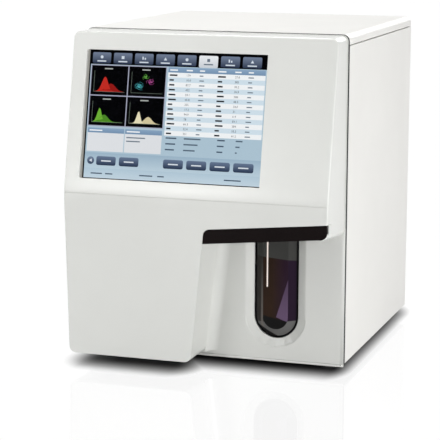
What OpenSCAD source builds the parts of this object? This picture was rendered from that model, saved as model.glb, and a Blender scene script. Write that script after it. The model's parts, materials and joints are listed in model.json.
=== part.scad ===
// Veterinary hematology analyzer: a bench instrument with a leaning touch screen,
// a sampling bay under an overhang, and the fluidics, optics and electronics behind it.
// Millimetres. +X is right and +Y is back for someone facing the screen, +Z is up.
// The origin is on the bench under the middle of the instrument.

/* [Case] */
// Width over the side panels
case_w = 320; // [300:1:350]
// Depth of the side panels
case_d = 320; // [300:1:350]
// Height of the case above its feet
case_h = 382; // [375:1:420]
// Height of the top cover's folded edge above the side panels
fold_h = 13; // [11:0.5:24]
// Thickness of the side panels and the top cover
panel_t = 2.5; // [1.5:0.1:4]
// Thickness of the base, wall and rear sheets
sheet_t = 2; // [1.5:0.1:3]
// Outer radius of the top cover's folds
top_r = 8; // [5:0.5:10]
// Open seam between neighbouring covers
seam = 0.8; // [0.4:0.1:1]
// Height of the turned-up edge along the base plate's sides
base_lip = 14; // [8:1:18]
// Width of the side panels' rear flange
flange_w = 12; // [10:0.5:16]
// Height at which that flange starts
flange_from = 20; // [19:1:30]
// Place of the chassis wall behind the front frame
wall_back = 75; // [72:1:80]

/* [Feet] */
// Height of the feet
foot_h = 14; // [11:1:25]
// Radius of a foot at the bench
foot_r = 12; // [9:0.5:16]
// Distance of a foot's axis from the case's edges
foot_inset = 30; // [24:1:45]
// Depth of the pocket for the foot's screw
foot_pocket = 8; // [6:0.5:9]
// Radius of that pocket
foot_pocket_r = 5; // [4.6:0.1:6]

/* [Front covers] */
// Thickness of the front frame
frame_t = 3.6; // [2.5:0.1:5]
// Drop of the front frame's foot below the case's underside
frame_drop = 4; // [1:0.5:6]
// How far the front covers stand out at their seam
front_out = 80; // [74:1:95]
// How far the screen panel stands out at its top edge
front_top_out = 42; // [36:1:55]
// How far the lower cover stands out at its foot
front_foot_out = 68.5; // [62:0.5:75]
// Height of the seam between the two front covers
seam_h = 197; // [192:1:205]
// Drop of the screen panel's top edge below the case's top
front_drop = 1.4; // [1:0.2:5]
// Height of the lower cover's foot above the case's underside
front_foot_h = 3.5; // [1:0.5:8]
// Step of the front covers behind the case's sides
front_inset = 1.8; // [1:0.2:5]
// Wall of the front covers
shell_t = 3; // [2:0.1:4]
// Radius of the front covers' upright edges
front_r = 2; // [1.5:0.5:5]
// Radius of the leg's lower corners
leg_corner_r = 9; // [6:0.5:14]

/* [Screen] */
// Width of the screen opening
screen_w = 215.5; // [190:0.5:220]
// Distance of the opening from the panel's left edge
screen_left = 20.5; // [16:0.5:28]
// Distance of the opening from the panel's top edge along the slope
screen_top = 20.7; // [14:0.1:24]
// Distance of the opening from the panel's lower edge along the slope
screen_foot = 17.7; // [15:0.1:30]
// Thickness of the touch glass
glass_t = 1.2; // [0.8:0.1:2]
// Lap of the touch glass behind the panel
glass_lap = 5; // [3:0.5:7]
// Thickness of the display module
lcd_t = 6.5; // [5:0.5:9]
// Thickness of the bracket behind the display
lcd_plate_t = 1.5; // [1:0.1:2]

/* [Sampling bay] */
// Width of the leg at the visor's lower edge
leg_w = 168.5; // [150:0.5:175]
// Lean of the leg's inner edge from upright, in degrees
leg_lean = 6.7; // [2:0.1:8]
// Height of the seam above the visor's lower left corner
visor_below = 51; // [48:0.5:57]
// Height of the visor's front band
visor_h = 16.7; // [12:0.1:18]
// Rise of the visor to the right, in degrees
visor_rise = 5.45; // [3:0.05:6]
// Fall of the bay's ceiling towards the wall, in degrees
visor_drop = 6; // [3:0.1:7]
// Thickness of the bay's ceiling
ceiling_t = 4; // [3:0.1:6]
// Step of the visor's band behind the cover's face
visor_recess = 0.8; // [0.4:0.1:2]
// Clearance round the visor
visor_gap = 0.3; // [0.2:0.05:0.6]
// Radius of the visor band's upper left corner
visor_r = 8; // [4:0.5:8]

/* [Aspirate key] */
// Place of the key and the probe to the right of the middle
key_x = 76; // [70:0.5:82]
// Width of the key
key_w = 51; // [44:0.5:56]
// Height of the key's lower end
key_bottom = 24.5; // [20:0.5:32]
// Height of the key's upper end above the visor's lower left corner
key_rise = 18.5; // [16.5:0.5:19.5]
// Thickness of the key
key_t = 10; // [9:0.1:11]
// Clearance round the key
key_gap = 1.4; // [0.5:0.1:1.8]
// Width of the dish round the key
dish_w = 14; // [8:0.5:16]
// Depth of the dish
dish_depth = 5; // [3:0.1:5.5]
// Wall of the dish behind its slope
dish_wall = 2.5; // [2:0.1:2.5]
// Width of the key's raised face
face_w = 30.6; // [24:0.2:36]
// Rise of that face above the dish's floor
face_rise = 4.2; // [2:0.1:4.4]
// Set-back of the key's edge behind the dish's floor
edge_back = 1.5; // [0.5:0.1:3]
// Height of the key's pivot above the visor's lower left corner
pivot_rise = 31.5; // [31:0.1:32.5]
// Radius of the pivot pin
pivot_r = 2; // [1.5:0.1:2.5]
// Radius of the key's barrel on the pin
barrel_r = 4.5; // [4:0.1:5]
// Width of the key's tongue and barrel
barrel_w = 30; // [24:1:34]
// Press of the key, in degrees
key_press = 2.5; // [1:0.1:3]

/* [Probe] */
// Distance of the probe in front of the front frame's rear face
probe_out = 36; // [34:0.5:44]
// Outer radius of the probe
probe_r = 0.9; // [0.8:0.05:1.5]
// Radius of the probe's bore
probe_bore_r = 0.4; // [0.2:0.05:0.6]
// Height of the probe's tip
probe_tip = 93; // [84:0.5:110]
// Room for the lift's motor above its upper plate
lift_room = 62; // [44:1:74]
// Clearance of the carriage arm above the probe's wipe
arm_rise = 8.5; // [6:0.5:14]
// Thickness of the carriage arm
arm_t = 8; // [6:0.5:10]
// Distance of the lead screw behind the front frame
lift_back = 42; // [40:0.5:46]
// Radius of the lead screws
screw_r = 4; // [3:0.1:5]
// Radius of the probe's guide rods
lift_rod_r = 4; // [3:0.1:5]
// Distance of the guide rods from the lead screw
lift_rod_x = 20; // [16:0.5:24]
// Running clearance of shafts in their bores
run_gap = 0.05; // [0.02:0.01:0.1]

/* [Syringes] */
// Place of the syringe drive left of the middle
syringe_x = -105; // [-110:1:-100]
// Outer radius of a syringe barrel
syringe_r = 9; // [7:0.5:10]
// Wall of a syringe barrel
syringe_wall = 1.6; // [1:0.1:2.5]
// Length of a syringe barrel
syringe_l = 96; // [90:1:110]
// Distance of the barrels from the lead screw
syringe_pitch = 28; // [26:0.5:30]
// Stroke of the plungers
stroke = 50; // [30:1:60]
// Radius of a plunger rod
plunger_r = 3; // [2:0.1:4]
// Radius of the syringe drive's guide rods
syringe_rod_r = 3; // [2:0.1:4]

/* [Rear] */
// How far the fluid ports stand out behind
port_out = 14; // [10:1:25]
// Outer radius of a fluid port's spigot
port_r = 3; // [2:0.1:4]
// Distance between fluid ports
port_pitch = 26; // [20:1:30]
// Width of the fan's frame
fan_w = 80; // [70:1:92]
// Depth of the fan's frame
fan_d = 25; // [20:1:32]
// Radius of the fan's hub
hub_r = 16; // [12:0.5:20]
// Tip of the switch rocker to either side, in degrees
rocker_tip = 8; // [4:0.5:10]

/* [Hidden] */
$fn = 64;

// Planes of the case
side_h = case_h - fold_h;
half_w = case_w / 2;
inner_w = half_w - panel_t;
y_frame = front_out - (case_d + front_out + port_out) / 2;
y_bay = y_frame - frame_t;
y_front = y_frame - front_out;
y_rear = y_frame + case_d;
y_sheet = y_rear - sheet_t;
y_wall = y_frame + wall_back;
y_board_side = y_wall + sheet_t;
z_case = foot_h;
z_floor = z_case + sheet_t;
z_side = z_case + side_h;
z_top = z_case + case_h;
z_ceiling = z_top - panel_t;
wall_foot = 10;
far = 1000;

// Leaning faces of the front covers
front_half = half_w - front_inset;
front_top_h = case_h - front_drop;
z_seam = z_case + seam_h;
z_front_top = z_case + front_top_h;
z_front_foot = z_case + front_foot_h;
upper_tilt = atan2(front_out - front_top_out, front_top_h - seam_h);
upper_slope = norm([front_out - front_top_out, front_top_h - seam_h]);
lower_tilt = atan2(front_out - front_foot_out, seam_h - front_foot_h);

// Screen
screen_x = -front_half + screen_left;
screen_low = screen_foot;
screen_h = upper_slope - screen_top - screen_foot;
lcd_lap = glass_lap - 1;
lcd_back = shell_t + glass_t + lcd_t;
lcd_tab = 4;

// Sampling bay. Heights above the case's underside carry an h
leg_x = leg_w - front_half;
visor_z = seam_h - visor_below;
y_visor = y_front + (seam_h - visor_z) * tan(lower_tilt);
band_h = visor_h / cos(visor_rise);
band_d = front_r + 10;
wall_h = visor_z + band_h + 4;
boss_h = visor_z + 32;
boss_r = 11;
probe_hole_r = 5;

// Aspirate key
key_top = visor_z + key_rise;
pivot_h = visor_z + pivot_rise;
y_key = y_bay + dish_depth;
y_key_back = y_key + key_t;
z_key_arc = z_case + key_bottom + key_w / 2;
z_key_top = z_case + key_top;
y_pivot = y_key + 7.1;
z_pivot = z_case + pivot_h;
y_tongue = y_key + dish_wall + 1;
dish_r = key_w / 2 + key_gap + dish_w;
ear_t = 3;
ear_x = barrel_w / 2 + 1;
ear_h = 6;
bracket_t = 1.5;
bracket_x = dish_r + 5;
bracket_foot = 12;
bracket_low = 55;
bracket_high = 105;
y_web = y_key_back + 12.5;
spring_h = 92;
spring_r = 4.5;
spring_wire = 0.5;
spring_turns = 5;
switch_h = 70;
switch_d = 5.5;

// Probe drive
y_probe = y_frame - probe_out;
y_lift = y_frame + lift_back;
wipe_w = 18;
wipe_h = 14;
arm_h = boss_h + wipe_h + arm_rise;
lift_under = 12;
lift_low = arm_h - lift_under;
lift_plate = 3;
lift_half = lift_rod_x + lift_rod_r + 10;
lift_block_h = 28;
lift_high = case_h - lift_room;
collar_r = 3.5;
collar_h = 8;
motor_w = 36;
motor_h = 32;

// Syringe drive
y_syringe = y_wall - 28;
syringe_low = 60;
syringe_half = syringe_pitch + syringe_r + 5;
syringe_bore = syringe_r - syringe_wall;
syringe_rod_x = 13;
yoke_h = 12;
yoke_low = 92;
yoke_spare = 28;
syringe_shelf = yoke_low + yoke_h + stroke + yoke_spare;
syringe_end = 6;
syringe_top = syringe_shelf + lift_plate + syringe_l + syringe_end;
piston_h = 8;
piston_rise = 2;

// Baths and valves
bath_x = -16;
bath_pitch = 38;
bath_r = 14;
bath_wall = 2.5;
bath_h = 36;
bath_rim = 3;
bath_shelf = 236;
bath_shelf_d = 44;
y_bath = y_wall - 23;
valve_low = 84;
valve_count = 6;
valve_pitch = 15;
valve_r = 6;
valve_l = 24;
manifold_d = 16;
manifold_h = 30;
manifold_half = valve_count * valve_pitch / 2 + 4;
valve_gap = 2;
valve_x = syringe_x + syringe_half + valve_gap + manifold_half;

// Rear half of the case
optic_x = -85;
optic_y = y_board_side + 70;
optic_w = 126;
optic_d = 92;
optic_t = 8;
damper_h = 12;
damper_r = 7;
z_optic = z_floor + damper_h + optic_t;
beam_h = 20;
laser_l = 46;
laser_w = 32;
laser_h = 30;
nose_l = 6;
nose_r = 8;
cell_x = 4;
cell_w = 18;
cell_d = 24;
cell_h = 44;
cell_bore = 4;
detector_x = 18;
detector_l = 34;
detector_w = 48;
detector_h = 36;
chamber_x = 30;
chamber_y = y_board_side + 55;
chamber_r = 30;
chamber_h = 92;
pump_x = 110;
pump_y = y_board_side + 40;
pump_w = 46;
pump_d = 40;
pump_h = 44;
pump_motor_r = 15;
pump_motor_l = 46;
board_x = -45;
board_w = 190;
board_low = 165;
board_h = 170;
board_t = 1.6;
standoff_l = 8;
standoff_r = 3;
standoff_edge = 6;
supply_x = 78;
supply_w = 140;
supply_h = 46;
supply_back = 34;
supply_gap = 9;
supply_d = y_sheet - supply_back - pump_y - pump_d / 2 - pump_motor_l - supply_gap;

// Rear panel
fan_x = -80;
fan_h = 275;
fan_hole_r = fan_w / 2 - 2;
fan_tip_r = fan_hole_r - 1.5;
fan_shaft_r = 2.5;
blade_count = 7;
guard_wire = 1.2;
guard_rings = 5;
inlet_x = 96;
inlet_h = 120;
inlet_w = 66;
inlet_high = 34;
inlet_flange = 3;
inlet_lap = 3;
socket_x = -12;
socket_w = 27;
socket_high = 19;
socket_d = 17;
rocker_x = 20;
rocker_w = 13;
rocker_high = 21;
rocker_d = 9;
rocker_pin_r = 1.5;
data_x = -6;
data_h = 215;
usb_w = 13;
usb_high = 5.4;
lan_w = 12;
lan_high = 8;
jack_d = 14;
jack_wall = 1.4;
ports_x = -128;
ports_h = 70;
port_count = 4;
port_nut_r = 7;
port_nut_h = 3;
rear_screw_r = 1.5;
rear_head_r = 2.8;
rear_head_h = 1.8;
rear_screw_edge = 6.5;
foot_screw_r = 2;
screw_gap = 0.2;

// Unit vector along v
function unit(v) = v / norm(v);

// Angle wrapped to run from -180 to 180
function wrap(a) = a - 360 * floor((a + 180) / 360);

// Points of the arc of radius r that rounds the corner b between a and c
function corner(a, b, c, r, steps = 6) =
  let (
    u = unit(a - b),
    v = unit(c - b),
    half = acos(u * v) / 2,
    centre = b + unit(u + v) * r / sin(half),
    p = b + u * r / tan(half) - centre,
    q = b + v * r / tan(half) - centre,
    from = atan2(p.y, p.x),
    sweep = wrap(atan2(q.y, q.x) - from)
  )
  [for (i = [0:steps]) centre + r * [cos(from + sweep * i / steps), sin(from + sweep * i / steps)]];

// Outline through [x, y, radius] corners, with each corner rounded by its radius
function rounded(corners) =
  let (count = len(corners), flat = [for (c = corners) [c.x, c.y]])
  [
    for (i = [0:count - 1])
      each corners[i][2] > 0
        ? corner(flat[(i + count - 1) % count], flat[i], flat[(i + 1) % count], corners[i][2])
        : [flat[i]]
  ];

// Height above the case's underside of the visor band's lower edge at x
function visor_edge(x) = visor_z + (x - leg_x) * tan(visor_rise);

// Place of the leg's inner edge at height h above the case's underside
function leg_edge(h) = leg_x - (visor_z - h) * tan(leg_lean);

// Box between two corners
module span(low, high) {
  translate(low)
    cube(high - low);
}

// Round bar of radius r and length l along +X, +Y or +Z from a point
module bar_x(from, r, l) {
  translate(from)
    rotate([0, 90, 0])
      cylinder(r = r, h = l);
}

module bar_y(from, r, l) {
  translate(from)
    rotate([-90, 0, 0])
      cylinder(r = r, h = l);
}

module bar_z(from, r, l) {
  translate(from)
    cylinder(r = r, h = l);
}

// Front view outline made solid from y0 to y1
module front_view(y0, y1) {
  translate([0, y1, 0])
    rotate([90, 0, 0])
      linear_extrude(y1 - y0)
        children();
}

// Frame on the screen panel's face: x across, y into the case, z up the slope from the seam
module on_screen_face() {
  translate([0, y_front, z_seam])
    rotate([-upper_tilt, 0, 0])
      children();
}

// Frame on the lower cover's face, z up towards the seam
module on_lower_face() {
  translate([0, y_front, z_seam])
    rotate([lower_tilt, 0, 0])
      children();
}

// Plan of a front cover, inset from its outer faces
module cover_plan(inset) {
  half = front_half - inset;
  r = max(front_r - inset, 0.5);
  polygon(rounded([[-half, inset, r], [half, inset, r], [half, far, 0], [-half, far, 0]]));
}

// Solid behind the screen panel's outer faces
module upper_block(inset, low, y_back) {
  intersection() {
    on_screen_face()
      translate([0, 0, -far / 2])
        linear_extrude(far)
          cover_plan(inset);
    folded_plate(front_half - inset, low, z_front_top - inset, -far, y_back);
  }
}

// Solid behind the lower cover's outer faces
module lower_block(inset, high, y_back) {
  intersection() {
    on_lower_face()
      translate([0, 0, -far / 2])
        linear_extrude(far)
          cover_plan(inset);
    span([-far, -far, z_case - far / 4], [far, y_back, high]);
  }
}

// Turns the bay's ceiling down towards the wall, about the visor's front lower edge
module dropped() {
  translate([0, y_visor, z_case + visor_z])
    rotate([-visor_drop, 0, 0])
      translate([0, -y_visor, -z_case - visor_z])
        children();
}

// Band of the visor in front view, grown by a clearance
module visor_band(grow) {
  left = leg_edge(visor_z) - grow;
  top_left = leg_edge(visor_z + band_h) - grow;
  right = front_half + band_d;
  low = visor_edge(right) - 2 * band_h;
  high = visor_edge(right) + band_h + grow;
  polygon(rounded([
    [left, z_case + visor_z - 2 * band_h, 0],
    [right, z_case + low, 0],
    [right, z_case + high, 0],
    [top_left, z_case + visor_edge(top_left) + band_h + grow, visor_r],
    [left, z_case + visor_z, 0]
  ]));
}

// Everything right of the leg
module leg_side() {
  right = front_half + band_d;
  high = visor_edge(right) + band_h;
  front_view(-far, far)
    polygon([
      [leg_edge(-far / 4), z_case - far / 4],
      [leg_edge(high), z_case + high],
      [right, z_case + high],
      [right, z_case - far / 4]
    ]);
}

// Everything below the bay's ceiling and right of the leg
module bay_void() {
  intersection() {
    leg_side();
    dropped()
      front_view(-far, far)
        polygon([
          [-half_w, z_case - far / 3],
          [-half_w, z_case + visor_edge(-half_w)],
          [half_w + far, z_case + visor_edge(half_w + far)],
          [half_w + far, z_case - far / 3]
        ]);
  }
}

// U outline of the key, upright in front view, with radius r and its top at height top
module key_outline(r, top) {
  translate([key_x, z_key_arc])
    circle(r);
  translate([key_x - r, z_key_arc])
    square([2 * r, top - z_key_arc]);
}

// Plate with the top cover's fold radius at its upper corners, from y0 to y1
module folded_plate(half, low, high, y0, y1) {
  front_view(y0, y1)
    polygon(rounded([[-half, low, 0], [half, low, 0], [half, high, top_r], [-half, high, top_r]]));
}

// Stepper motor with cut corners, standing on a point
module stepper(at) {
  cut = motor_w / 9;
  half = motor_w / 2;
  translate(at)
    linear_extrude(motor_h)
      polygon([
        [half, half - cut], [half - cut, half], [cut - half, half], [-half, half - cut],
        [-half, cut - half], [cut - half, -half], [half - cut, -half], [half, cut - half]
      ]);
}

// Places of the four feet
module at_feet() {
  for (x = [foot_inset - half_w, half_w - foot_inset])
    for (y = [y_frame + foot_inset, y_rear - foot_inset])
      translate([x, y, 0])
        children();
}

// Places of the rear panel's screws
module at_rear_screws() {
  for (side = [-1, 1])
    for (i = [0:3])
      translate([
        side * (inner_w - rear_screw_edge),
        0,
        z_case + flange_from + 16 + i * (side_h - flange_from - 44) / 3
      ])
        children();
}

module front_frame() {
  window_low = z_case + arm_h - 10;
  window_half = half_w - 22;
  color("whitesmoke")
    difference() {
      union() {
        folded_plate(half_w, z_case - frame_drop, z_top, y_bay, y_frame);
        front_view(y_bay, y_key + dish_wall)
          key_outline(dish_r + dish_wall, z_key_top + key_gap + dish_wall);
      }
      front_view(y_bay - 1, y_key + dish_wall + 1)
        key_outline(key_w / 2 + key_gap, z_key_top + key_gap);
      translate([key_x, y_bay, z_key_arc])
        rotate([-90, 0, 0])
          cylinder(r1 = dish_r, r2 = key_w / 2 + key_gap, h = dish_depth);
      translate([key_x, 0, z_key_arc])
        linear_extrude(z_key_top + key_gap - z_key_arc)
          polygon([
            [-dish_r, y_bay], [dish_r, y_bay], [key_w / 2 + key_gap, y_key], [-key_w / 2 - key_gap, y_key]
          ]);
      span([-window_half, y_bay - 1, window_low], [window_half, y_frame + 1, z_top - 20]);
    }
}

module screen_panel() {
  color("gainsboro")
    difference() {
      upper_block(0, z_seam + seam / 2, y_bay);
      upper_block(shell_t, z_seam - far / 4, far);
      on_screen_face()
        span([screen_x, -1, screen_low], [screen_x + screen_w, shell_t + 1, screen_low + screen_h]);
    }
}

module lower_front_cover() {
  inner_half = front_half - shell_t;
  inner_r = leg_corner_r - shell_t;
  color("gainsboro")
    difference() {
      intersection() {
        lower_block(0, z_seam - seam / 2, y_bay);
        front_view(-far, far)
          polygon(rounded([
            [-front_half, z_front_foot, leg_corner_r],
            [leg_edge(front_foot_h), z_front_foot, leg_corner_r],
            [leg_edge(visor_z - 2 * band_h), z_case + visor_z - 2 * band_h, 0],
            [front_half, z_case + visor_z - 2 * band_h, 0],
            [front_half, z_seam, 0],
            [-front_half, z_seam, 0]
          ]));
      }
      bay_void();
      intersection() {
        lower_block(shell_t, z_seam + 1, far);
        front_view(-far, far)
          polygon(rounded([
            [-inner_half, z_front_foot + shell_t, inner_r],
            [leg_edge(front_foot_h) - shell_t, z_front_foot + shell_t, inner_r],
            [leg_edge(wall_h) - shell_t, z_case + wall_h, 0],
            [inner_half, z_case + wall_h, 0],
            [inner_half, z_seam + 1, 0],
            [-inner_half, z_seam + 1, 0]
          ]));
      }
      intersection() {
        lower_block(shell_t, z_seam, far);
        leg_side();
        span([-far, -far, z_case + visor_z - band_h], [inner_half, far, z_case + wall_h + 1]);
      }
      front_view(-far, y_visor + band_d)
        visor_band(0);
    }
}

module bay_visor() {
  left = leg_edge(visor_z) + visor_gap;
  right = front_half - shell_t - visor_gap;
  color([0.1, 0.07, 0.06])
    difference() {
      union() {
        intersection() {
          lower_block(visor_recess, z_seam, y_visor + band_d - visor_gap);
          front_view(-far, far)
            visor_band(-visor_gap);
        }
        intersection() {
          dropped()
            front_view(-far, far)
              polygon([
                [left, z_case + visor_z],
                [right, z_case + visor_edge(right)],
                [right, z_case + visor_edge(right) + ceiling_t],
                [leg_edge(visor_z + ceiling_t) + visor_gap, z_case + visor_z + ceiling_t]
              ]);
          span([-far, y_visor + band_d / 2, 0], [far, y_bay, z_top]);
        }
        bar_z([key_x, y_probe, z_case + visor_z - band_h], boss_r, boss_h - visor_z + band_h);
      }
      bay_void();
      bar_z([key_x, y_probe, z_case], probe_hole_r, far);
    }
}

module side_panel(side) {
  color("white")
    mirror([side < 0 ? 1 : 0, 0, 0]) {
      span([inner_w, y_frame + seam, z_case], [half_w, y_rear, z_side]);
      difference() {
        span(
          [inner_w - flange_w, y_sheet - panel_t, z_case + flange_from],
          [inner_w, y_sheet, z_side - seam]
        );
        at_rear_screws()
          bar_y([0, y_sheet - 2 * panel_t, 0], rear_screw_r + screw_gap, 4 * panel_t);
      }
    }
}

module right_side_panel() {
  side_panel(1);
}

module left_side_panel() {
  side_panel(-1);
}

module top_cover() {
  color("white")
    difference() {
      folded_plate(half_w, z_side + seam, z_top, y_frame + seam, y_rear);
      front_view(y_frame, y_rear + 1)
        polygon(rounded([
          [-inner_w, z_case, 0],
          [inner_w, z_case, 0],
          [inner_w, z_ceiling, top_r - panel_t],
          [-inner_w, z_ceiling, top_r - panel_t]
        ]));
    }
}

module rear_panel() {
  color("silver")
    difference() {
      folded_plate(inner_w, z_case, z_ceiling, y_sheet, y_rear);
      bar_y([fan_x, y_sheet - 1, z_case + fan_h], fan_hole_r, sheet_t + 2);
      translate([inlet_x, 0, z_case + inlet_h])
        span(
          [inlet_lap - inlet_w / 2, y_sheet - 1, inlet_lap - inlet_high / 2],
          [inlet_w / 2 - inlet_lap, y_rear + 1, inlet_high / 2 - inlet_lap]
        );
      at_jacks(jack_wall)
        translate([0, y_rear, 0])
          cube([$jack_w + 2 * jack_wall, 4 * sheet_t, $jack_h + 2 * jack_wall], center = true);
      at_ports()
        bar_y([0, y_sheet - 1, 0], port_nut_r - 2, sheet_t + 2);
      at_rear_screws()
        bar_y([0, y_sheet - 1, 0], rear_screw_r + screw_gap, sheet_t + 2);
    }
}

module base_plate() {
  color("silver")
    difference() {
      union() {
        span([-inner_w, y_frame, z_case], [inner_w, y_sheet, z_floor]);
        for (x = [-inner_w, inner_w - sheet_t])
          span([x, y_frame, z_case], [x + sheet_t, y_sheet, z_case + base_lip]);
      }
      at_feet()
        bar_z([0, 0, z_case - 1], foot_screw_r + screw_gap, sheet_t + 2);
    }
}

module centre_wall() {
  hole_r = 16;
  color("silver")
    difference() {
      union() {
        folded_plate(inner_w - sheet_t, z_floor, z_ceiling, y_wall, y_board_side);
        span(
          [sheet_t - inner_w, y_board_side, z_floor],
          [inner_w - sheet_t, y_board_side + wall_foot, z_floor + sheet_t]
        );
      }
      for (x = [-half_w / 5, half_w / 5])
        bar_y([x, y_wall - 1, z_case + 40], hole_r, sheet_t + 2);
    }
}

module feet() {
  color([0.12, 0.12, 0.12])
    at_feet()
      rotate_extrude()
        polygon([
          [foot_pocket_r, 0], [foot_r, 0], [foot_r + 2, foot_h], [foot_screw_r + screw_gap, foot_h],
          [foot_screw_r + screw_gap, foot_pocket], [foot_pocket_r, foot_pocket]
        ]);
}

module foot_screws() {
  head_h = 3;
  color("silver")
    at_feet() {
      bar_z([0, 0, foot_pocket - head_h], foot_pocket_r - 0.5, head_h);
      bar_z([0, 0, foot_pocket - head_h], foot_screw_r, z_floor + 3 - foot_pocket + head_h);
    }
}

module rear_screws() {
  color("silver")
    at_rear_screws() {
      bar_y([0, y_rear, 0], rear_head_r, rear_head_h);
      bar_y([0, y_sheet - panel_t - 1, 0], rear_screw_r, sheet_t + panel_t + 2);
    }
}

module touch_glass() {
  color([0.2, 0.25, 0.3])
    on_screen_face()
      span(
        [screen_x - glass_lap, shell_t, screen_low - glass_lap],
        [screen_x + screen_w + glass_lap, shell_t + glass_t, screen_low + screen_h + glass_lap]
      );
}

module lcd_module() {
  color([0.6, 0.75, 0.85])
    on_screen_face()
      span(
        [screen_x - lcd_lap, shell_t + glass_t, screen_low - lcd_lap],
        [screen_x + screen_w + lcd_lap, lcd_back, screen_low + screen_h + lcd_lap]
      );
}

module lcd_bracket() {
  left = screen_x - glass_lap - 1;
  right = screen_x + screen_w + glass_lap + 1;
  low = screen_low + 12;
  high = screen_low + screen_h - 12;
  color("silver")
    on_screen_face()
      difference() {
        union() {
          span([left - lcd_tab, lcd_back, low], [right + lcd_tab, lcd_back + lcd_plate_t, high]);
          for (x = [left - lcd_tab, right])
            span([x, shell_t, low], [x + lcd_tab, lcd_back, high]);
        }
        span([left + 25, lcd_back - 1, low + 20], [right - 25, lcd_back + lcd_plate_t + 1, high - 20]);
      }
}

module aspirate_key() {
  y_edge = y_key + edge_back;
  y_face = y_key - face_rise;
  color([0.16, 0.12, 0.13])
    difference() {
      union() {
        front_view(y_edge, y_key_back)
          key_outline(key_w / 2, z_key_top);
        translate([key_x, y_face, z_key_arc])
          rotate([-90, 0, 0])
            cylinder(r1 = face_w / 2, r2 = key_w / 2, h = y_edge - y_face);
        translate([key_x, 0, z_key_arc])
          linear_extrude(z_key_top - z_key_arc)
            polygon([
              [-face_w / 2, y_face], [face_w / 2, y_face], [key_w / 2, y_edge], [-key_w / 2, y_edge]
            ]);
        span([key_x - barrel_w / 2, y_tongue, z_key_top - 5], [key_x + barrel_w / 2, y_key_back, z_pivot]);
        bar_x([key_x - barrel_w / 2, y_pivot, z_pivot], barrel_r, barrel_w);
      }
      bar_x([key_x - barrel_w, y_pivot, z_pivot], pivot_r + run_gap, 2 * barrel_w);
    }
}

module key_pivot_pin() {
  color("silver")
    bar_x([key_x - ear_x - ear_t - 1, y_pivot, z_pivot], pivot_r, 2 * (ear_x + ear_t + 1));
}

module key_bracket() {
  color("silver")
    difference() {
      union() {
        span(
          [key_x - ear_x - ear_t, y_frame, z_pivot - ear_h],
          [key_x + ear_x + ear_t, y_frame + sheet_t, z_pivot + ear_h]
        );
        for (x = [key_x - ear_x - ear_t, key_x + ear_x])
          span([x, y_frame, z_pivot - ear_h], [x + ear_t, y_pivot + ear_h, z_pivot + ear_h]);
      }
      bar_x([key_x - 2 * barrel_w, y_pivot, z_pivot], pivot_r + run_gap / 2, 4 * barrel_w);
    }
}

module switch_bracket() {
  out = bracket_x + bracket_foot;
  color("silver")
    translate([key_x, 0, z_case + bracket_low])
      linear_extrude(bracket_high - bracket_low)
        polygon([
          [-out, y_frame], [-bracket_x + bracket_t, y_frame], [-bracket_x + bracket_t, y_web],
          [bracket_x - bracket_t, y_web], [bracket_x - bracket_t, y_frame], [out, y_frame],
          [out, y_frame + bracket_t], [bracket_x, y_frame + bracket_t], [bracket_x, y_web + bracket_t],
          [-bracket_x, y_web + bracket_t], [-bracket_x, y_frame + bracket_t], [-out, y_frame + bracket_t]
        ]);
}

module key_switch() {
  press = (pivot_h - switch_h) * tan(key_press);
  y_body = y_web - switch_d;
  color([0.15, 0.15, 0.17])
    translate([key_x, 0, z_case + switch_h]) {
      span([-10, y_body, -5], [10, y_web, 5]);
      bar_y([0, y_key_back + press + 0.7, 0], 1.2, y_body - y_key_back - press - 0.2);
    }
}

module key_spring() {
  rings = 10;
  sides = 6;
  steps = spring_turns * rings;
  run = y_web - y_key_back - 2 * spring_wire - 0.2;
  points = [
    for (i = [0:steps])
      for (k = [0:sides - 1])
        let (
          turn = 360 * i / rings,
          reach = spring_r + spring_wire * cos(360 * k / sides),
          rise = run * i / steps + spring_wire * sin(360 * k / sides)
        )
        [reach * cos(turn), rise, reach * sin(turn)]
  ];
  walls = [
    for (i = [0:steps - 1])
      for (k = [0:sides - 1])
        let (a = i * sides + k, b = i * sides + (k + 1) % sides)
        each [[a, b, b + sides], [a, b + sides, a + sides]]
  ];
  first = [for (k = [1:sides - 2]) [0, k + 1, k]];
  last = [for (k = [1:sides - 2]) [steps * sides, steps * sides + k, steps * sides + k + 1]];
  color("silver")
    translate([key_x, y_key_back + spring_wire + 0.1, z_case + spring_h])
      polyhedron(points, concat(walls, first, last));
}

module sample_probe() {
  z_tip = z_case + probe_tip;
  z_collar = z_case + arm_h + arm_t;
  color([0.8, 0.8, 0.78])
    difference() {
      union() {
        bar_z([key_x, y_probe, z_tip], probe_r, z_collar + collar_h - z_tip);
        bar_z([key_x, y_probe, z_collar], collar_r, collar_h);
      }
      bar_z([key_x, y_probe, z_tip - 1], probe_bore_r, far);
    }
}

module probe_wipe() {
  z_low = z_case + boss_h;
  color("ivory")
    difference() {
      translate([key_x, y_probe, z_low])
        span([-wipe_w / 2, -wipe_w / 2, 0], [wipe_w / 2, wipe_w / 2, wipe_h]);
      bar_z([key_x, y_probe, z_low - 1], probe_r + run_gap, wipe_h + 2);
    }
}

module probe_carriage() {
  z_low = z_case + arm_h;
  color("gray")
    difference() {
      union() {
        span(
          [key_x - lift_rod_x - lift_rod_r - 4, y_lift - 10, z_low],
          [key_x + lift_rod_x + lift_rod_r + 4, y_lift + 10, z_low + lift_block_h]
        );
        span([key_x - 6, y_probe - 6, z_low], [key_x + 6, y_lift, z_low + arm_t]);
      }
      bar_z([key_x, y_probe, z_low - 1], probe_r + run_gap, arm_t + 2);
      bar_z([key_x, y_lift, z_low - 1], screw_r + run_gap, lift_block_h + 2);
      for (x = [-lift_rod_x, lift_rod_x])
        bar_z([key_x + x, y_lift, z_low - 1], lift_rod_r + run_gap, lift_block_h + 2);
    }
}

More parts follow.
